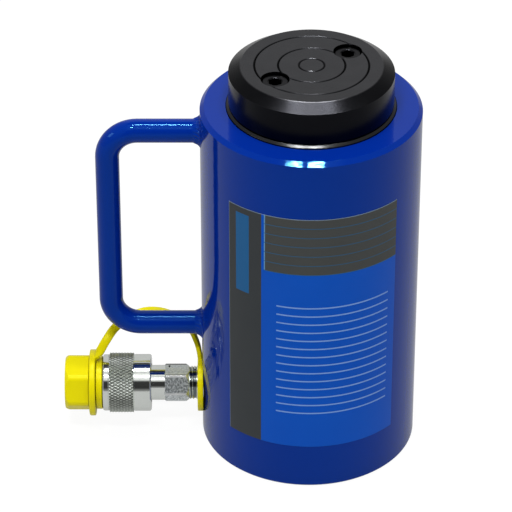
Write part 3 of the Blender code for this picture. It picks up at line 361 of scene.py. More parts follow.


# %% [markdown]
# The saddle, its screws and the gland ring are blackened in hot salts, which leaves the lathe's
# rings visible. Tool marks are noise that changes along one number: radius plus height, so the
# same marks run round the flat face and round the rim. The saddle's face and its chamfer are
# paler than the side below them: partly rubbed by the loads, partly painted light for the
# brighter light on the top. The gland's chamfer edge is paler too: partly bare steel, partly a
# painted highlight.

# %% Blackened steel


def lathe_marks(metal, scale):
    x, y, z = metal.axes(metal.place)
    radius = (x * x + y * y) ** 0.5
    return metal.streaks(radius + z * 0.7, scale, 3.0)


PALE_CHAMFER_FROM = saddle_high[2] - 0.0038
FACE_FROM = saddle_high[2] - 0.0003
PALE_EDGE = 0.0002
CHAMFER_PALENESS = 0.12
GLAND_EDGE = gland_high[0] - 0.0011


def blackened_steel():
    metal = Finish("blackened_steel")
    marks = lathe_marks(metal, 2600.0)
    scuffs = metal.noise(140.0, 5.0)
    x, y, z = metal.axes(metal.place)
    # Painted light: the chamfer and the face are paler than the side below them, for the brighter
    # light on the top, besides the rub of the loads.
    rubbed_and_lit = ((z - PALE_CHAMFER_FROM) / PALE_EDGE).clamp() * CHAMFER_PALENESS
    rubbed_and_lit = rubbed_and_lit + ((z - FACE_FROM) / PALE_EDGE).clamp() * (1 - CHAMFER_PALENESS)
    colour = metal.blend(scuffs, opaque(0.0080, 0.0083, 0.0105), opaque(0.0125, 0.0128, 0.0150))
    wear_and_painted_light = metal.blend(scuffs, opaque(0.056, 0.057, 0.062), opaque(0.074, 0.075, 0.081))
    radius = (x * x + y * y) ** 0.5
    # Painted highlight, with some bare steel: the gland's chamfer edge is paler so that it catches
    # the front boxes.
    rim_edge = (radius > GLAND_EDGE) * (z < gland_high[2] + 0.0001) * (z > gland_high[2] - 0.0012)
    colour = metal.blend(rim_edge, metal.blend(rubbed_and_lit, colour, wear_and_painted_light), opaque(0.050, 0.051, 0.053))
    return metal.surface(Base_Color=colour, Metallic=1.0, Roughness=scuffs * 0.12 + 0.18,
                         Normal=metal.bump(marks, 0.000010, 0.6))


# %% [markdown]
# The rod is ground and hard chromed, so it mirrors with the finest of rings. Turned inner parts
# and drawn wire have the same kind of marks, but coarser and darker.

# %% Chrome, turned steel and wire


def ringed_metal(name, colour, darker, roughness, mark_scale, mark_depth):
    metal = Finish(name)
    marks = lathe_marks(metal, mark_scale)
    tint = metal.blend(marks, opaque(*colour), opaque(*darker))
    return metal.surface(Base_Color=tint, Metallic=1.0, Roughness=marks * 0.10 + roughness,
                         Normal=metal.bump(marks, mark_depth, 0.6))


def ground_chrome():
    return ringed_metal("ground_chrome", (0.62, 0.63, 0.65), (0.55, 0.56, 0.58),
                        0.06, 5200.0, 0.000004)


def turned_steel():
    return ringed_metal("turned_steel", (0.47, 0.47, 0.48), (0.36, 0.36, 0.37),
                        0.26, 2400.0, 0.000015)


def spring_wire():
    return ringed_metal("spring_wire", (0.20, 0.20, 0.21), (0.12, 0.12, 0.125),
                        0.34, 900.0, 0.000010)


# %% [markdown]
# The coupler is bright zinc. It is turned along its own axis, so its marks change along X. The
# knurl is darker overall and darkest in its grooves, which are found by their distance from the
# axis: painted shade, with a little dirt in the grooves. The thread's roots are darkened with
# painted shade too. The hexagon was left as drawn and blasted, so it carries a sandy stipple
# instead. Its corners are paler, partly worn by wrenches and partly a painted highlight, and one
# edge of its upper face is a painted dark line. Its punch mark is filled with painted shade.

# %% Bright zinc
KNURL_TOP = 0.01490
KNURL_PEAK = 0.01462
KNURL_SHADE = 0.00022
KNURL_FLOOR = 0.01419
CORNER_ZONE_FROM = 0.00895
MARKED_FACE = 0.00783
THREAD_FLOOR = 0.00805
THREAD_END = 0.0590
PUNCH_STATION = 0.0689
PUNCH_OFFSET = 0.0022
PUNCH_RADIUS = 0.00055


def around_port(metal):
    """The place along, across and above the coupler, and the distance from its axis."""
    x, y, z = metal.axes(metal.place)
    above = z - PORT_HEIGHT
    return x, y, above, (y * y + above * above) ** 0.5


def bright_zinc():
    metal = Finish("bright_zinc")
    x, _, _, from_axis = around_port(metal)
    marks = metal.streaks(x + from_axis * 0.7, 1900.0, 2.0)
    cloud = metal.noise(260.0, 3.0)
    colour = metal.blend(cloud, opaque(0.83, 0.87, 0.83), opaque(0.90, 0.93, 0.89))
    on_knurl = from_axis > KNURL_FLOOR
    grooves = ((KNURL_PEAK - from_axis) / KNURL_SHADE).clamp() * on_knurl
    grip = on_knurl * (from_axis < KNURL_TOP)
    # Painted shade: the whole knurl is darker.
    colour = metal.blend(grip * 0.45, colour, opaque(0.26, 0.29, 0.23))
    # Painted shade in the knurl's grooves, with a little dirt.
    dirt_and_shade = grooves * (cloud * 0.9 + 0.40).clamp()
    colour = metal.blend(dirt_and_shade, colour, opaque(0.085, 0.094, 0.078))
    # Painted shade in the thread's roots.
    thread_floor = (x > -THREAD_END) * (from_axis < THREAD_FLOOR)
    colour = metal.blend(thread_floor * 0.85, colour, opaque(0.06, 0.08, 0.085))
    roughness = marks * 0.06 + on_knurl * 0.32 + 0.07
    return metal.surface(Base_Color=colour, Metallic=1.0, Roughness=roughness,
                         Normal=metal.bump(marks, 0.000008, 0.6))


def stippled_zinc():
    metal = Finish("stippled_zinc")
    x, y, above, from_axis = around_port(metal)
    # Painted highlight: the corners are paler, besides the wear of wrenches.
    wear_and_painted_light = ((from_axis - CORNER_ZONE_FROM) / 0.0002).clamp()
    marked_face = above > MARKED_FACE
    grain = metal.noise(1250.0, 4.0)
    speckle = ((grain - 0.40) * 5.0 * (1.0 - marked_face * 0.75) + marked_face * 0.40).clamp()
    sandy = metal.blend(speckle, opaque(0.36, 0.40, 0.41), opaque(0.92, 0.97, 0.98))
    colour = metal.blend(wear_and_painted_light, sandy, opaque(0.90, 0.92, 0.92))
    # Painted shade: a dark line along one edge of the upper face.
    colour = metal.blend(wear_and_painted_light * marked_face * 0.85, colour, opaque(0.05, 0.05, 0.05))
    # Painted shade in the punch mark.
    along, sideways = x + PUNCH_STATION, y - PUNCH_OFFSET
    punch_shade = ((along * along + sideways * sideways) ** 0.5 < PUNCH_RADIUS) * marked_face
    colour = metal.blend(punch_shade * 0.95, colour, opaque(0.02, 0.02, 0.02))
    roughness = grain * 0.14 + wear_and_painted_light * 0.08 + 0.26
    return metal.surface(Base_Color=colour, Metallic=0.9, Roughness=roughness,
                         Normal=metal.bump(grain, 0.00010, 0.7))


# %% [markdown]
# Plastics and rubber. The dust cap and its tether are moulded in one yellow, satin with a trace
# of texture from the tool.

# %% Plastics and rubber


def soft_finish(name, colour, lighter, roughness, grain_scale, grain_depth, level, gloss=WHITE):
    matter = Finish(name)
    grain = matter.noise(grain_scale, 3.0)
    cloud = matter.noise(60.0, 2.0)
    tint = matter.blend(cloud, opaque(*colour), opaque(*lighter))
    return matter.surface(Base_Color=tint, Roughness=grain * 0.12 + roughness,
                          Specular_IOR_Level=level, Specular_Tint=gloss,
                          Normal=matter.bump(grain, grain_depth))


def moulded_yellow():
    return soft_finish("moulded_yellow", (0.58, 0.51, 0.0008), (0.65, 0.58, 0.0010),
                       0.28, 900.0, 0.00002, 0.35, opaque(1.0, 0.90, 0.15))


def seal_rubber():
    return soft_finish("rubber", (0.013, 0.013, 0.014), (0.020, 0.020, 0.021),
                       0.58, 1400.0, 0.00003, 0.4)


def guide_plastic():
    return soft_finish("guide_plastic", (0.55, 0.50, 0.36), (0.60, 0.55, 0.41),
                       0.45, 800.0, 0.00003, 0.4)


finishes = {
    "blue_paint": blue_enamel(),
    "black_oxide": blackened_steel(),
    "ground_steel": ground_chrome(),
    "machined_steel": turned_steel(),
    "spring_steel": spring_wire(),
    "plated_steel": bright_zinc(),
    "yellow_plastic": moulded_yellow(),
    "seal_rubber": seal_rubber(),
    "guide_plastic": guide_plastic(),
}
hexagon_finish = stippled_zinc()
print("finishes:", len(finishes) + 1)

# %% [markdown]
# The inner pieces keep their CAD shape and take the new finish of their slot. Nearly all of
# them stay hidden, but a section view or an exploded view shows them.

# %% Finishes for the CAD nodes
for row in frame["record"]["subparts"]:
    node = frame["nodes"][row["node"]]
    for place in node.material_slots:
        place.material = finishes[row["material_slot"]]

# %% [markdown]
# Lathe work. Most pieces here are turned, so one helper does what hands would do: add a circle,
# extrude it, move it to the next height and scale it to the next radius, and close the end. A
# ring comes back to its first point, where the doubled points are merged.

# %% Helper for turned pieces


POINTS = (True, False, False)
EDGES = (False, True, False)
FACES = (False, False, True)


def only(piece):
    """Selects one piece and nothing else."""
    bpy.ops.object.select_all(action="DESELECT")
    piece.select_set(True)
    bpy.context.view_layer.objects.active = piece


def start_editing(piece, kind):
    """Opens a mesh with its marked points, edges or faces selected."""
    only(piece)
    bpy.context.tool_settings.mesh_select_mode = kind
    bpy.ops.object.mode_set(mode="EDIT")


def keep_place():
    """Puts the selected piece's place, turn and size into its mesh."""
    bpy.ops.object.transform_apply(location=True, rotation=True, scale=True)


def turn_piece(name, outline, sides=96):
    """Turns (radius, height) points round Z. An outline that starts on the axis is a solid."""
    solid = outline[0][0] == 0.0
    points = outline[1:-1] if solid else outline + outline[:1]
    radius, level = points[0]
    bpy.ops.object.select_all(action="DESELECT")
    bpy.ops.mesh.primitive_circle_add(vertices=sides, radius=radius, location=(0.0, 0.0, level))
    piece = bpy.context.object
    piece.name = name
    bpy.ops.object.mode_set(mode="EDIT")
    if solid:
        bpy.ops.mesh.edge_face_add()
        bpy.ops.mesh.select_mode(type="EDGE")
        bpy.ops.mesh.select_all(action="SELECT")
    for (old_radius, old_level), (new_radius, new_level) in zip(points, points[1:]):
        rise = (0.0, 0.0, new_level - old_level)
        bpy.ops.mesh.extrude_edges_move(TRANSFORM_OT_translate={"value": rise})
        grow = new_radius / old_radius
        bpy.ops.transform.resize(value=(grow, grow, 1.0), center_override=(0.0, 0.0, new_level))
    if solid:
        bpy.ops.mesh.edge_face_add()
    tidy_mesh()
    bpy.ops.object.mode_set(mode="OBJECT")
    keep_place()
    return piece


def tidy_mesh():
    """Merges doubled points and turns all faces outwards; used in edit mode."""
    bpy.ops.mesh.select_all(action="SELECT")
    bpy.ops.mesh.remove_doubles(threshold=1e-6)
    bpy.ops.mesh.normals_make_consistent(inside=False)


def round_edges(piece, width, segments=2, angle=28.0):
    """Breaks the sharp edges of a piece, as a file or a deburring tool would."""
    only(piece)
    bevel = piece.modifiers.new("broken_edges", "BEVEL")
    bevel.width = width
    bevel.segments = segments
    bevel.limit_method = "ANGLE"
    bevel.angle_limit = math.radians(angle)
    bpy.ops.object.modifier_apply(modifier=bevel.name)


def smooth(piece, angle=32.0, weigh=True):
    """Smooth shading; weighing by area keeps flats flat beside a narrow rounded edge."""
    only(piece)
    bpy.ops.object.shade_smooth_by_angle(angle=math.radians(angle))
    if weigh:
        weighing = piece.modifiers.new("flat_faces", "WEIGHTED_NORMAL")
        weighing.keep_sharp = True
        bpy.ops.object.modifier_apply(modifier=weighing.name)


def lay_down(piece, level=PORT_HEIGHT):
    """Turns a piece that was made standing, so that it points out of the barrel at a height."""
    only(piece)
    piece.rotation_euler = (0.0, -math.pi / 2, 0.0)
    piece.location = (0.0, 0.0, level)
    keep_place()


def cut(piece, tool, operation="DIFFERENCE"):
    """Cuts a piece with a tool, or joins the two, and throws the tool away."""
    only(piece)
    step = piece.modifiers.new("cut", "BOOLEAN")
    step.operation = operation
    step.solver = "EXACT"
    step.object = tool
    bpy.ops.object.modifier_apply(modifier=step.name)
    bpy.data.objects.remove(tool)


def drill(name, radius, bottom, top, place=(0.0, 0.0), sides=32):
    """A round cutting tool that stands at a place."""
    bpy.ops.object.select_all(action="DESELECT")
    bpy.ops.mesh.primitive_cylinder_add(vertices=sides, radius=radius, depth=top - bottom,
                                        location=(*place, (top + bottom) / 2))
    bpy.context.object.name = name
    return bpy.context.object


def dress(piece, slot, body, *nodes):
    """Finishes a piece: the material of its slot, the body it rides on, and the hidden CAD nodes
    it stands for.
    """
    piece.data.materials.clear()
    piece.data.materials.append(finishes[slot])
    if body:
        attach(piece, body)
    if nodes:
        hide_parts(*nodes)
    print(piece.name, len(piece.data.polygons), "faces")


# %% [markdown]
# The barrel is one thick tube with a floor. Its bore and gland seat are turned in the same pass,
# then the port is drilled from the side. The rim's chamfer mirrors the two front boxes.

# %% Barrel
BORE_RADIUS = 0.0375
FLOOR_TOP = 0.020
RIM_CHAMFER = 0.0020
FOOT_CHAMFER = 0.0010
GLAND_RADIUS = gland_high[0]
GLAND_SEAT = 0.160
PORT_RADIUS = 0.0082

barrel = turn_piece("barrel_shell", [
    (0.0, 0.0), (BODY_RADIUS - FOOT_CHAMFER, 0.0), (BODY_RADIUS, FOOT_CHAMFER),
    (BODY_RADIUS, BODY_TOP - RIM_CHAMFER), (BODY_RADIUS - RIM_CHAMFER, BODY_TOP),
    (GLAND_RADIUS + GAP, BODY_TOP), (GLAND_RADIUS + GAP, GLAND_SEAT), (BORE_RADIUS, GLAND_SEAT),
    (BORE_RADIUS, FLOOR_TOP), (0.0, FLOOR_TOP)], sides=160)
port_drill = drill("port_drill", PORT_RADIUS, BORE_RADIUS - 0.004, BODY_RADIUS + 0.004)
lay_down(port_drill)
cut(barrel, port_drill)
round_edges(barrel, 0.0005, 3)
smooth(barrel)
dress(barrel, "blue_paint", "barrel", "cylinder_body")

# %% [markdown]
# The carrying handle is one round bar, bent twice. A circle is extruded along the first leg, spun
# round the bend, extruded down the grip, spun again and extruded back to the barrel.

# %% Handle bar
BAR_RADIUS = 0.00575
BEND_RADIUS = 0.0145
HANDLE_REACH = -handle_low[0] - BAR_RADIUS
LEG_SPACING = 0.110
UPPER_LEG = (handle_low[2] + handle_high[2] + LEG_SPACING) / 2
LOWER_LEG = UPPER_LEG - LEG_SPACING
BAR_START = BODY_RADIUS - 0.0030

bpy.ops.object.select_all(action="DESELECT")
bpy.ops.mesh.primitive_circle_add(vertices=40, radius=BAR_RADIUS, fill_type="NGON",
                                  location=(-BAR_START, 0.0, UPPER_LEG),
                                  rotation=(0.0, math.pi / 2, 0.0))
handle = bpy.context.object
handle.name = "handle_bar"
keep_place()
bpy.ops.object.mode_set(mode="EDIT")
bpy.ops.mesh.select_mode(type="FACE")
bpy.ops.mesh.select_all(action="SELECT")


def extrude_bar(move):
    bpy.ops.mesh.extrude_region_move(TRANSFORM_OT_translate={"value": move})


leg = HANDLE_REACH - BEND_RADIUS - BAR_START
extrude_bar((-leg, 0.0, 0.0))
bpy.ops.mesh.spin(steps=16, angle=math.pi / 2, axis=(0.0, 1.0, 0.0),
                  center=(-HANDLE_REACH + BEND_RADIUS, 0.0, UPPER_LEG - BEND_RADIUS))
extrude_bar((0.0, 0.0, -(UPPER_LEG - LOWER_LEG - 2 * BEND_RADIUS)))
bpy.ops.mesh.spin(steps=16, angle=math.pi / 2, axis=(0.0, 1.0, 0.0),
                  center=(-HANDLE_REACH + BEND_RADIUS, 0.0, LOWER_LEG + BEND_RADIUS))
extrude_bar((leg, 0.0, 0.0))
tidy_mesh()
bpy.ops.object.mode_set(mode="OBJECT")
print("handle reaches", round(min(point.co.x for point in handle.data.vertices), 4))

# %% [markdown]
# Each leg ends in a fillet weld that was painted over. Its profile is hollow, so it grows from the
# bar in a curve, and it is turned round the bar's axis. Small ripples show where the welder moved
# the torch, and its foot is sunk into the barrel.

# %% Weld beads
WELD_LENGTH = 0.0046
WELD_HEIGHT = 0.0034
WELD_STEPS = 8
WELD_SINK = 0.0004
WELD_ROOT = BODY_RADIUS - 0.004
WELD_FOOT = BODY_RADIUS - 0.0006
WELD_RIPPLES = 23
RIPPLE_DEPTH = 0.00016


def weld_bead(name, level):
    inner, outer = BAR_RADIUS - WELD_SINK, BAR_RADIUS + WELD_HEIGHT
    outline = [(inner, WELD_ROOT), (outer, WELD_ROOT), (outer, WELD_FOOT)]
    for step in range(1, WELD_STEPS + 1):
        turn = math.pi / 2 * step / WELD_STEPS
        outline.append((BAR_RADIUS + WELD_HEIGHT * (1 - math.sin(turn)),
                        WELD_FOOT + WELD_LENGTH * (1 - math.cos(turn))))
    outline[-1] = (inner, BODY_RADIUS + WELD_LENGTH)
    bead = turn_piece(name, outline, sides=120)
    for point in bead.data.vertices:
        reach = math.hypot(point.co.x, point.co.y)
        turn = math.atan2(point.co.y, point.co.x)
        height = (reach - BAR_RADIUS) / WELD_HEIGHT
        if 0.02 < height < 0.9:
            wave = math.sin(WELD_RIPPLES * turn + 1.1 * math.sin(3 * turn) + 9 * height)
            point.co.xy *= 1 + RIPPLE_DEPTH * wave / reach
            point.co.z += RIPPLE_DEPTH * wave
    lay_down(bead, level)
    smooth(bead, 60.0)
    return bead


smooth(handle, 45.0)
dress(handle, "blue_paint", "barrel", "carry_handle")
for bead_name, level in (("upper_weld_bead", UPPER_LEG), ("lower_weld_bead", LOWER_LEG)):
    dress(weld_bead(bead_name, level), "blue_paint", "barrel")

# %% [markdown]
# The gland ring is the plunger's stop. Only its top and a thin bright chamfer show at rest; its
# two holes take a pin spanner. The wiper's lip stands in its mouth, against the rod.

# %% Gland ring and wiper
ROD_RADIUS = rod_high[0]
GLAND_INNER = ROD_RADIUS + GAP
GLAND_BOTTOM = gland_low[2]
GLAND_TOP = gland_high[2]
GLAND_CHAMFER = 0.001
MOUTH_RADIUS = 0.0325
WIPER_GROOVE_RADIUS = 0.0343
WIPER_SEAT = 0.1797
LIP_GAP = 0.0006
SPANNER_HOLE_RADIUS = 0.002
SPANNER_CIRCLE = 0.0368

gland = turn_piece("gland_ring", [
    (GLAND_INNER, GLAND_BOTTOM), (BORE_RADIUS - GAP, GLAND_BOTTOM),
    (BORE_RADIUS - GAP, GLAND_SEAT + GAP), (GLAND_RADIUS, GLAND_SEAT + GAP),
    (GLAND_RADIUS, GLAND_TOP - GLAND_CHAMFER), (GLAND_RADIUS - GLAND_CHAMFER, GLAND_TOP),
    (MOUTH_RADIUS, GLAND_TOP), (MOUTH_RADIUS, GLAND_TOP - 0.002),
    (WIPER_GROOVE_RADIUS, GLAND_TOP - 0.002), (WIPER_GROOVE_RADIUS, WIPER_SEAT),
    (GLAND_INNER, WIPER_SEAT)], sides=128)
for side in (1, -1):
    cut(gland, drill("spanner_drill", SPANNER_HOLE_RADIUS, GLAND_TOP - 0.005, GLAND_TOP + 0.001,
                     (0.0, side * SPANNER_CIRCLE)))
round_edges(gland, 0.00025)
smooth(gland)
dress(gland, "black_oxide", "barrel", "gland_nut")

wiper = turn_piece("wiper_lip", [
    (GLAND_INNER + LIP_GAP, 0.1800), (0.0340, 0.1800), (0.0340, 0.1847), (0.0319, 0.1847),
    (GLAND_INNER + LIP_GAP, 0.1864), (GLAND_INNER, 0.1861), (GLAND_INNER + LIP_GAP, 0.1844)])
round_edges(wiper, 0.0001)
smooth(wiper)
dress(wiper, "seal_rubber", "barrel", "rod_wiper")

# %% [markdown]
# The plunger rod only shows once it has left the gland. It keeps the CAD's hollow and its crown.

# %% Plunger rod
ROD_TOP = 0.187
ROD_CHAMFER = 0.001
HOLLOW_RADIUS = 0.015
HOLLOW_TOP = 0.159
PILOT_RADIUS = 0.027
PILOT_TOP = 0.054
SPIGOT_TOP = 0.1895
NUT_SEAT = 0.1842

rod = turn_piece("chromed_rod", [
    (HOLLOW_RADIUS, rod_low[2]), (PILOT_RADIUS, rod_low[2]), (PILOT_RADIUS, PILOT_TOP),
    (ROD_RADIUS, PILOT_TOP), (ROD_RADIUS, ROD_TOP - ROD_CHAMFER),
    (ROD_RADIUS - ROD_CHAMFER, ROD_TOP), (0.014, ROD_TOP), (0.014, SPIGOT_TOP),
    (0.0098, SPIGOT_TOP), (0.0098, NUT_SEAT), (0.0053, NUT_SEAT), (0.0053, HOLLOW_TOP),
    (HOLLOW_RADIUS, HOLLOW_TOP)], sides=128)
print("rod radius", round(ROD_RADIUS, 4))

# %% [markdown]
# The saddle carries the load. Three V grooves are turned in its face, and two socket screws sink
# in counterbores that were drilled last, so they cut through the outer groove.

# %% Saddle
SADDLE_RADIUS = saddle_high[0]
SADDLE_TOP = saddle_high[2]
SADDLE_FACE = 0.0334
GROOVES = (0.0268, 0.0157, 0.0060)
GROOVE_HALF = 0.00055
GROOVE_DEPTH = 0.0007
SCREW_CIRCLE = 0.0214
SCREW_ANGLES = (math.radians(37), math.radians(217))
HEAD_SEAT = 0.1978
TAP_RADIUS = 0.0043
COUNTERBORE_RADIUS = 0.0068

outline = [(0.0, 0.1898), (0.0143, 0.1898), (0.0143, saddle_low[2]),
           (SADDLE_RADIUS - 0.0005, saddle_low[2]), (SADDLE_RADIUS, saddle_low[2] + 0.0005),
           (SADDLE_RADIUS, SADDLE_TOP - 0.0036), (SADDLE_FACE, SADDLE_TOP)]
for groove in GROOVES:
    outline += [(groove + GROOVE_HALF, SADDLE_TOP), (groove, SADDLE_TOP - GROOVE_DEPTH),
                (groove - GROOVE_HALF, SADDLE_TOP)]
saddle = turn_piece("grooved_saddle", outline + [(0.0, SADDLE_TOP)], sides=144)
for angle in SCREW_ANGLES:
    place = (SCREW_CIRCLE * math.cos(angle), SCREW_CIRCLE * math.sin(angle))
    cut(rod, drill("tap_drill", TAP_RADIUS, 0.1725, 0.1900, place))
    cut(saddle, drill("through_drill", TAP_RADIUS, 0.186, 0.208, place))
    cut(saddle, drill("counterbore", COUNTERBORE_RADIUS, HEAD_SEAT - GAP, 0.212, place, 48))
round_edges(saddle, 0.00028, 2, 20.0)
smooth(saddle, 25.0)
round_edges(rod, 0.0002)
smooth(rod)
dress(rod, "ground_steel", "plunger", "plunger_rod")
dress(saddle, "black_oxide", "plunger", "saddle")

# %% [markdown]
# A socket head screw is turned, knurled round its head and then broached. The knurl is left out,
# because the counterbore hides it; the socket is cut with a six-sided tool.

# %% Saddle screws
HEAD_RADIUS = 0.0065
HEAD_TOP = 0.2058
HEAD_CHAMFER = 0.0007
SOCKET_CORNER = 0.006 / math.sqrt(3)


def saddle_screw(name, angle):
    place = Vector((SCREW_CIRCLE * math.cos(angle), SCREW_CIRCLE * math.sin(angle), 0.0))
    screw = turn_piece(name, [
        (0.0, 0.1728), (0.0035, 0.1728), (0.004, 0.1733), (0.004, HEAD_SEAT),
        (HEAD_RADIUS, HEAD_SEAT), (HEAD_RADIUS, HEAD_TOP - HEAD_CHAMFER),
        (HEAD_RADIUS - HEAD_CHAMFER, HEAD_TOP),
        (0.0036, HEAD_TOP), (0.0034, HEAD_TOP - 0.0003), (0.0, HEAD_TOP - 0.0003)], sides=48)
    cut(screw, drill("broach", SOCKET_CORNER, HEAD_TOP - 0.004, HEAD_TOP + 0.002, sides=6))
    round_edges(screw, 0.00018)
    screw.location = place
    only(screw)
    keep_place()
    smooth(screw)
    return screw


for number, angle in enumerate(SCREW_ANGLES, start=1):
    dress(saddle_screw(f"socket_screw_{number}", angle), "black_oxide", "plunger",
          f"saddle_screw_{number}")

# %% [markdown]
# Threads. A triangle is wound round the axis with a rise of one pitch for each turn, as a die
# would leave it. Its two ends are closed, and the ridge sinks a little into the core below it.

# %% Helper for threads


def wind_thread(name, crest, depth, pitch, start, end, steps=28):
    """A ridge with its crest at a radius, from one station to the other."""
    turns = (end - start) / pitch
    root = crest - depth - 0.0001
    bpy.ops.object.select_all(action="DESELECT")
    bpy.ops.mesh.primitive_circle_add(vertices=3, radius=1.0, location=(0.0, 0.0, 0.0))
    ridge = bpy.context.object
    ridge.name = name
    corners = ((root, -pitch * 0.46), (crest, 0.0), (root, pitch * 0.46))
    for point, (radius, offset) in zip(ridge.data.vertices, corners):
        point.co = (radius, 0.0, start + offset)
    winding = ridge.modifiers.new("winding", "SCREW")
    winding.angle = math.tau * turns
    winding.screw_offset = end - start
    winding.steps = winding.render_steps = int(steps * turns)
    winding.use_merge_vertices = False
    only(ridge)
    bpy.ops.object.modifier_apply(modifier=winding.name)
    bpy.ops.object.mode_set(mode="EDIT")
    bpy.ops.mesh.select_all(action="SELECT")
    bpy.ops.mesh.fill_holes(sides=3)
    tidy_mesh()
    bpy.ops.object.mode_set(mode="OBJECT")
    return ridge


def join(piece, *others):
    """Makes one mesh of several pieces."""
    only(piece)
    for other in others:
        other.select_set(True)
    bpy.ops.object.join()
    return piece


# %% [markdown]
# The coupler's body is one bar of steel: a taper thread that goes into the port, a wrench
# hexagon, a plain neck for the collar, a flange that stops it and the sealing face.

# %% Coupler body
NIPPLE_START = 0.0408
NIPPLE_RADIUS = 0.00835
THREAD_DEPTH = 0.0006
THREAD_START = 0.0562
HEX_START = 0.0590
HEX_END = 0.0713
HEX_FLATS = 0.0164
HEX_CORNER = HEX_FLATS / math.sqrt(3)
HEX_TURN = math.radians(-4.5)
NECK_RADIUS = 0.0087
RING_STATION = 0.08005
RING_GROOVE_HALF = 0.0011
BORE_MOUTH = 0.0054
CORE_RADIUS = 0.0079
FLANGE_START = 0.0838
FLANGE_RADIUS = 0.0119
FLANGE_END = 0.0868
COUPLER_END = 0.0905
SEAL_GROOVE = 0.0882

coupler = turn_piece("coupler_nipple", [
    (BORE_MOUTH, NIPPLE_START), (CORE_RADIUS, NIPPLE_START), (NIPPLE_RADIUS, 0.0553),
    (NIPPLE_RADIUS - THREAD_DEPTH, 0.0556), (NIPPLE_RADIUS - THREAD_DEPTH, HEX_START + 0.0004),
    (CORE_RADIUS, HEX_START + 0.0004), (CORE_RADIUS, HEX_END - 0.0004),
    (NECK_RADIUS, HEX_END - 0.0004), (NECK_RADIUS, RING_STATION - RING_GROOVE_HALF),
    (CORE_RADIUS, RING_STATION - RING_GROOVE_HALF),
    (CORE_RADIUS, RING_STATION + RING_GROOVE_HALF),
    (NECK_RADIUS, RING_STATION + RING_GROOVE_HALF), (NECK_RADIUS, FLANGE_START),
    (FLANGE_RADIUS, FLANGE_START), (FLANGE_RADIUS, FLANGE_END), (0.0080, FLANGE_END),
    (0.0080, COUPLER_END), (0.0076, COUPLER_END), (0.0076, SEAL_GROOVE), (0.0050, SEAL_GROOVE),
    (0.0050, COUPLER_END), (0.0034, COUPLER_END), (0.0034, 0.0860), (BORE_MOUTH, 0.0840)],
    sides=72)
round_edges(coupler, 0.00015)
thread = wind_thread("nipple_thread", NIPPLE_RADIUS, THREAD_DEPTH, 0.0014, THREAD_START, HEX_START)
join(coupler, thread)
lay_down(coupler)
smooth(coupler, 40.0)
dress(coupler, "plated_steel", "barrel", "coupler_body")

# %% [markdown]
# The wrench hexagon. A six-sided bar is faced off with a conical tool at both ends, which gives
# the curved chamfers of every real nut. Its upper face carries a punch mark, a small cone that
# is turned, laid level, moved to its place and cut out.

# %% Wrench hexagon
bpy.ops.object.select_all(action="DESELECT")
bpy.ops.mesh.primitive_cylinder_add(vertices=6, radius=HEX_CORNER, depth=HEX_END - HEX_START,
                                    location=(0.0, 0.0, (HEX_START + HEX_END) / 2),
                                    rotation=(0.0, 0.0, HEX_TURN))
hexagon = bpy.context.object
hexagon.name = "wrench_hexagon"
keep_place()
facing = turn_piece("facing_tool", [
    (0.0, HEX_START - 0.001), (HEX_CORNER - 0.0021, HEX_START - 0.001),
    (HEX_CORNER - 0.0014, HEX_START), (HEX_CORNER + GAP, HEX_START + 0.0020),
    (HEX_CORNER + GAP, HEX_END - 0.0009), (HEX_CORNER - 0.0009, HEX_END),
    (HEX_CORNER - 0.0013, HEX_END + 0.001), (0.0, HEX_END + 0.001)], sides=72)
cut(hexagon, facing, "INTERSECT")
cut(hexagon, drill("hexagon_bore", 0.0077, HEX_START - 0.001, HEX_END + 0.001, sides=48))
round_edges(hexagon, 0.00045)
punch_low, punch_high = HEX_FLATS / 2 - 0.0005, HEX_FLATS / 2 + 0.0003
punch = turn_piece("punch", [(0.0, punch_low), (0.0001, punch_low), (0.0006, punch_high),
                             (0.0, punch_high)], sides=20)
punch.rotation_euler = (0.0, math.pi / 2, 0.0)
keep_place()
punch.location = (0.0, PUNCH_OFFSET, PUNCH_STATION)
keep_place()
punch.rotation_euler = (0.0, 0.0, HEX_TURN)
keep_place()
cut(hexagon, punch)
lay_down(hexagon)
smooth(hexagon, 28.0)
dress(hexagon, "plated_steel", "barrel")
hexagon.data.materials[0] = hexagon_finish

# %% [markdown]
# The collar's grip is a true diamond knurl: the grip is turned with many rows, every other point
# is pressed in, and each four-sided face is folded along its inner diagonal. Pressed rows leave
# pointed diamonds, as a pair of knurling wheels does.

# %% Knurled collar
COLLAR_START = 0.07785
KNURL_START = 0.0864
KNURL_END = 0.0987
COLLAR_END = 0.1018
REAR_BORE = 0.00977
REAR_RADIUS = 0.01415
STEP_RADIUS = 0.01385
FRONT_RADIUS = 0.0140
FRONT_BORE = 0.0122
BORE_STEP = 0.0835
KNURL_CREST = 0.01485
KNURL_PRESS = 0.00050
KNURL_STARTS = 58
KNURL_ROWS = 8

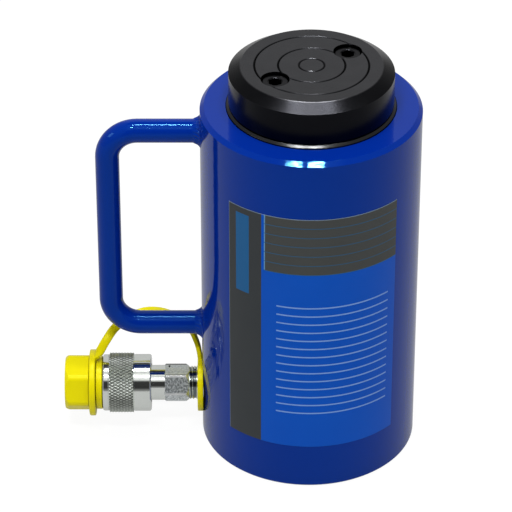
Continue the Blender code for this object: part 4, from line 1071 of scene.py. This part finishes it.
rows = [KNURL_START + 0.0003 + (KNURL_END - KNURL_START - 0.0006) * row / KNURL_ROWS
        for row in range(KNURL_ROWS + 1)]
outline = [(REAR_BORE, COLLAR_START), (0.01335, COLLAR_START), (0.01372, 0.07799),
           (0.01401, 0.07828), (REAR_RADIUS, 0.07865), (REAR_RADIUS, 0.0860),
           (STEP_RADIUS, 0.0862), (STEP_RADIUS, KNURL_START)]
outline += [(KNURL_CREST, row) for row in rows]
outline += [(STEP_RADIUS, KNURL_END), (STEP_RADIUS, KNURL_END + 0.0002),
            (FRONT_RADIUS, KNURL_END + 0.0004), (FRONT_RADIUS, 0.1010), (0.01377, 0.10157),
            (0.0132, COLLAR_END), (FRONT_BORE, COLLAR_END), (FRONT_BORE, BORE_STEP),
            (REAR_BORE, BORE_STEP)]
collar = turn_piece("knurled_collar", outline, sides=2 * KNURL_STARTS)
for point in collar.data.vertices:
    level = (point.co.z - rows[0]) / (rows[1] - rows[0])
    on_grip = abs(math.hypot(point.co.x, point.co.y) - KNURL_CREST) < 1e-5
    column = round(math.atan2(point.co.y, point.co.x) / math.pi * KNURL_STARTS)
    point.select = on_grip and (round(level) + column) % 2 == 1
for group in (collar.data.edges, collar.data.polygons):
    for item in group:
        item.select = False
start_editing(collar, POINTS)
press = (KNURL_CREST - KNURL_PRESS) / KNURL_CREST
bpy.ops.transform.resize(value=(press, press, 1.0), center_override=(0.0, 0.0, 0.0))
bpy.ops.object.mode_set(mode="OBJECT")
for face in collar.data.polygons:
    middle = math.hypot(face.center.x, face.center.y)
    face.select = KNURL_START < face.center.z < KNURL_END and middle > FRONT_RADIUS
start_editing(collar, FACES)
bpy.ops.mesh.quads_convert_to_tris(quad_method="SHORTEST_DIAGONAL")
bpy.ops.object.mode_set(mode="OBJECT")
lay_down(collar)
smooth(collar, 24.0)
dress(collar, "plated_steel", "collar", "coupler_collar")

# %% [markdown]
# The dust cap is a moulded plug: a threaded spigot that screws into the collar, a shoulder, a
# groove that holds the tether's loop and a hexagon with soft corners.

# %% Dust cap
CAP_FLATS = 0.0255
CAP_CORNER = CAP_FLATS / math.sqrt(3)
CAP_TURN = math.radians(-15)
SPIGOT_START = 0.0882
CAP_START = 0.1021
GROOVE_START = 0.1050
CAP_HEX_START = 0.1087
CAP_END = 0.1204
SPIGOT_RADIUS = 0.0119
SPIGOT_CORE = 0.0111
SPIGOT_BORE = 0.0090
SHOULDER_RADIUS = 0.01315
GROOVE_RADIUS = 0.0092
LEAD = 0.003

cap = turn_piece("cap_plug", [
    (0.0, 0.0926), (SPIGOT_BORE, 0.0926), (SPIGOT_BORE, SPIGOT_START), (0.0108, SPIGOT_START),
    (SPIGOT_CORE, SPIGOT_START + 0.0004), (SPIGOT_CORE, CAP_START),
    (SHOULDER_RADIUS, CAP_START), (SHOULDER_RADIUS, GROOVE_START),
    (GROOVE_RADIUS, GROOVE_START), (GROOVE_RADIUS, CAP_HEX_START + GAP),
    (0.0, CAP_HEX_START + GAP)], sides=96)
round_edges(cap, 0.0004, 3)
cap_thread = wind_thread("cap_thread", SPIGOT_RADIUS, 0.0008, LEAD / 2, SPIGOT_START + 0.0012,
                         CAP_START - 0.0010, 36)
bpy.ops.object.select_all(action="DESELECT")
bpy.ops.mesh.primitive_cylinder_add(vertices=6, radius=CAP_CORNER, depth=CAP_END - CAP_HEX_START,
                                    location=(0.0, 0.0, (CAP_HEX_START + CAP_END) / 2),
                                    rotation=(0.0, 0.0, CAP_TURN))
cap_hexagon = bpy.context.object
cap_hexagon.name = "cap_hexagon"
keep_place()
for edge in cap_hexagon.data.edges:
    first, second = (cap_hexagon.data.vertices[index].co for index in edge.vertices)
    edge.select = abs(first.z - second.z) > 0.001
for face in cap_hexagon.data.polygons:
    face.select = False
start_editing(cap_hexagon, EDGES)
bpy.ops.mesh.bevel(offset=0.0020, segments=5, profile=0.5)
bpy.ops.object.mode_set(mode="OBJECT")
doming = turn_piece("doming_tool", [
    (0.0, CAP_HEX_START - 0.001), (CAP_CORNER, CAP_HEX_START - 0.001),
    (CAP_CORNER, CAP_END - 0.0024), (CAP_FLATS / 2 - 0.0002, CAP_END + 0.00001),
    (0.0, CAP_END + 0.00001)], sides=96)
cut(cap_hexagon, doming, "INTERSECT")
round_edges(cap_hexagon, 0.0006, 4, 20.0)
join(cap, cap_hexagon, cap_thread)
lay_down(cap)
smooth(cap, 30.0)
dress(cap, "yellow_plastic", "cap", "dust_cap")

# %% [markdown]
# The tether is one moulding: a ring trapped at the port, a strap and a loop in the cap's groove.
# Its far end moves with the cap. The strap follows listed points, as a free strap has no axis to
# be turned on, and it twists as it leaves the loop, so its flat side looks forwards. The ring at
# the port hugs the barrel.

# %% Tether
RING_STATION_CENTRE = 0.0536
LOOP_STATION = 0.10685
STRAP_HALF_WIDTH = 0.0022
STRAP_HALF_THICKNESS = 0.00120
FROM_LOOP = (
    (0.0004, 0.0004, 0.0141), (0.0034, 0.0006, 0.0178), (0.0068, 0.0028, 0.0233),
    (0.0118, 0.0088, 0.0277), (0.0204, 0.0134, 0.0313),
)
FROM_PORT = (
    (-0.0234, 0.0154, 0.0328), (-0.0145, 0.0146, 0.0311), (-0.0058, 0.0110, 0.0263),
    (-0.0018, 0.0064, 0.0205), (-0.0002, 0.0026, 0.0152), (0.0000, 0.0006, 0.0110),
)
FLAT_TOWARDS = Vector((0.0, -0.83, 0.56))


def across_strap(centre, along):
    """The direction of the strap's width: level at both rings, turned to the front in between."""
    travel = (centre.x + LOOP_STATION) / (LOOP_STATION - RING_STATION_CENTRE)
    twist = max(0.0, min(1.0, (travel - 0.02) / 0.08, (0.62 - travel) / 0.27))
    level, flat = Vector((0.0, 1.0, 0.0)), FLAT_TOWARDS.cross(along).normalized()
    across = level.lerp(flat, twist * twist * (3 - 2 * twist))
    return (across - along * across.dot(along)).normalized()


def smooth_line(points, steps):
    """Points on a smooth curve through the given ones (Catmull-Rom)."""
    knots = [2 * points[0] - points[1]] + points + [2 * points[-1] - points[-2]]
    line = []
    for a, b, c, d in zip(knots, knots[1:], knots[2:], knots[3:]):
        for step in range(steps):
            t = step / steps
            line.append((2 * b + (c - a) * t + (2 * a - 5 * b + 4 * c - d) * t ** 2
                         + (3 * b - a - 3 * c + d) * t ** 3) / 2)
    return line + [knots[-2]]


def squared(amount):
    """Draws a circle's sine or cosine out towards a square with rounded corners."""
    return math.copysign(abs(amount) ** 0.55, amount)


def lay_strap(name, line, sides=16):
    """A flat strap with rounded edges: a tube of many-sided rings, one for each point."""
    bpy.ops.object.select_all(action="DESELECT")
    bpy.ops.mesh.primitive_cylinder_add(vertices=sides, radius=1.0, depth=1.0)
    strap = bpy.context.object
    strap.name = name
    mesh = strap.data
    points, faces = [], []
    for index, centre in enumerate(line):
        ahead, behind = line[min(index + 1, len(line) - 1)], line[max(index - 1, 0)]
        along = (ahead - behind).normalized()
        across = across_strap(centre, along)
        other = along.cross(across)
        for corner in range(sides):
            turn = math.tau * corner / sides
            wide = squared(math.cos(turn)) * STRAP_HALF_WIDTH
            thick = squared(math.sin(turn)) * STRAP_HALF_THICKNESS
            points.append(centre + across * wide + other * thick)
    for row in range(len(line) - 1):
        for corner in range(sides):
            after = (corner + 1) % sides
            faces.append((row * sides + corner, row * sides + after,
                          (row + 1) * sides + after, (row + 1) * sides + corner))
    faces.append(tuple(range(sides))[::-1])
    faces.append(tuple((len(line) - 1) * sides + corner for corner in range(sides)))
    mesh.clear_geometry()
    mesh.from_pydata(points, [], faces)
    return strap


def flat_ring(name, inner, outer, start, end):
    return turn_piece(name, [(inner, start), (outer, start), (outer, end), (inner, end)], sides=96)


loop_centre = Vector((-LOOP_STATION, 0.0, PORT_HEIGHT))
port_centre = Vector((-RING_STATION_CENTRE, 0.0, PORT_HEIGHT))
route = [loop_centre + Vector(offset) for offset in FROM_LOOP]
route += [port_centre + Vector(offset) for offset in FROM_PORT]
strap = lay_strap("tether", smooth_line(route, 5))
port_ring = flat_ring("port_ring", 0.00865, 0.01415, 0.0520, 0.0548)
cap_loop = flat_ring("cap_loop_ring", 0.0095, 0.01645, 0.1053, 0.1084)
for band, rounding in ((port_ring, 0.0004), (cap_loop, 0.0007)):
    round_edges(band, rounding, 4)
    lay_down(band)
    cut(band, drill("barrel_shape", BODY_RADIUS + 0.00005, 0.0, 0.050, sides=160))
    cut(strap, band, "UNION")
smooth(strap, 35.0, weigh=False)
dress(strap, "yellow_plastic", None, "tether_strap", "tether_cap_loop")
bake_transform(strap)

# %% [markdown]
# Two springs are hidden inside, and a joint stretches or squeezes each of them. A merged copy
# stands for each CAD wire.


def copy_spring(node_name):
    """A copy of a CAD spring as a free mesh, with its doubled points merged."""
    only(frame["nodes"][node_name])
    bpy.ops.object.duplicate()
    spring = bpy.context.object
    spring.name = node_name + "_wire"
    bpy.ops.object.parent_clear(type="CLEAR_KEEP_TRANSFORM")
    keep_place()
    start_editing(spring, POINTS)
    tidy_mesh()
    bpy.ops.object.mode_set(mode="OBJECT")
    smooth(spring, 50.0, weigh=False)
    dress(spring, "spring_steel", None, node_name)
    return spring


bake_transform(copy_spring("return_spring"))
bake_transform(copy_spring("coupler_valve_spring"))

# %% [markdown]
# The label is a printed film. This one is unprinted but for plain panels: a dark stripe, a dark
# heading with thin rules, and a mid-blue field with ruled lines. Its zones are worked out from
# the angle round the barrel and the height, so they need no picture. The sheet is cut from a
# cylinder by two planes through the axis, and then gets its thickness.

# %% Label film
LABEL_LEFT = math.radians(-137.0)
LABEL_RIGHT = math.radians(-41.0)
LABEL_BOTTOM = 0.0243
LABEL_TOP = 0.1550
STRIPE_RIGHT = math.radians(-116.5)
FIELD_LEFT = math.radians(-115.0)
HEADING_BOTTOM = 0.1240
HEADING_RULES = 6
RULE_SHARE = 0.07
PANEL_LEFT = LABEL_LEFT + 0.085
PANEL_RIGHT = LABEL_LEFT + 0.230
PANEL_BOTTOM = 0.108
PANEL_TOP = 0.1515
LINES_LEFT = FIELD_LEFT + 0.12
LINES_RIGHT = LABEL_RIGHT - 0.09
LINES_BOTTOM = 0.0420
LINES_TOP = 0.1060
LINE_STEP = 0.0047
LINE_SHARE = 0.16


def label_film():
    film = Finish("label_film")
    x, y, z = film.axes(film.place)
    turn = y.maths("ARCTAN2", x)
    in_stripe = turn < STRIPE_RIGHT
    in_field = turn > FIELD_LEFT
    in_heading = in_field * (z > HEADING_BOTTOM)
    rule_step = (LABEL_TOP - HEADING_BOTTOM) / HEADING_RULES
    phase = ((z - HEADING_BOTTOM) / rule_step).maths("FRACT")
    rule = in_heading * (phase < RULE_SHARE)
    panel = (turn > PANEL_LEFT) * (turn < PANEL_RIGHT) * (z > PANEL_BOTTOM) * (z < PANEL_TOP)
    # Painted highlight: a pale line along the film's top and left edges.
    film_edge_highlight = (z > LABEL_TOP - 0.0003) + (turn < LABEL_LEFT + 0.004)
    fade = film.noise(35.0, 2.0)
    blue = film.blend(fade, opaque(0.0003, 0.055, 0.370), opaque(0.0005, 0.064, 0.410))
    dark_grey = film.blend(fade, opaque(0.030, 0.030, 0.031), opaque(0.037, 0.037, 0.037))
    grey = film.blend(fade, opaque(0.044, 0.043, 0.040), opaque(0.052, 0.051, 0.047))
    colour = film.blend(in_heading, film.blend(in_stripe, blue, dark_grey), grey)
    heading_edge = in_heading * (turn < FIELD_LEFT + 0.010)
    colour = film.blend(heading_edge * 0.7, colour, opaque(0.12, 0.30, 0.50))
    colour = film.blend(rule, colour, opaque(0.020, 0.075, 0.150))
    colour = film.blend(panel, colour, opaque(0.010, 0.080, 0.210))
    line = ((z - 0.0345) / LINE_STEP).maths("FRACT")
    lines = (line < LINE_SHARE) * (turn > LINES_LEFT) * (turn < LINES_RIGHT)
    lines = lines * (z < LINES_TOP) * (z > LINES_BOTTOM)
    colour = film.blend(lines * 0.50, colour, opaque(0.28, 0.44, 0.66))
    colour = film.blend(film_edge_highlight * 0.5, colour, opaque(0.22, 0.30, 0.40))
    return film.surface(Base_Color=colour, Roughness=fade * 0.06 + 0.22, Specular_IOR_Level=0.20,
                        Specular_Tint=opaque(0.40, 0.80, 1.0))


bpy.ops.object.select_all(action="DESELECT")
bpy.ops.mesh.primitive_cylinder_add(vertices=256, radius=BODY_RADIUS + 0.00005,
                                    depth=LABEL_TOP - LABEL_BOTTOM, end_fill_type="NOTHING",
                                    location=(0.0, 0.0, (LABEL_TOP + LABEL_BOTTOM) / 2))
label = bpy.context.object
label.name = "label_sheet"
keep_place()
for edge_turn, side in ((LABEL_LEFT, 1.0), (LABEL_RIGHT, -1.0)):
    start_editing(label, FACES)
    bpy.ops.mesh.select_all(action="SELECT")
    across = (-math.sin(edge_turn) * side, math.cos(edge_turn) * side, 0.0)
    bpy.ops.mesh.bisect(plane_co=(0.0, 0.0, 0.0), plane_no=across, clear_inner=True)
    bpy.ops.object.mode_set(mode="OBJECT")
film_depth = label.modifiers.new("film_depth", "SOLIDIFY")
film_depth.thickness = 0.00014
film_depth.offset = 1.0
only(label)
bpy.ops.object.modifier_apply(modifier=film_depth.name)
smooth(label, 40.0)
label.data.materials.clear()
label.data.materials.append(label_film())
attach(label, "barrel")
print("label", len(label.data.polygons), "faces")
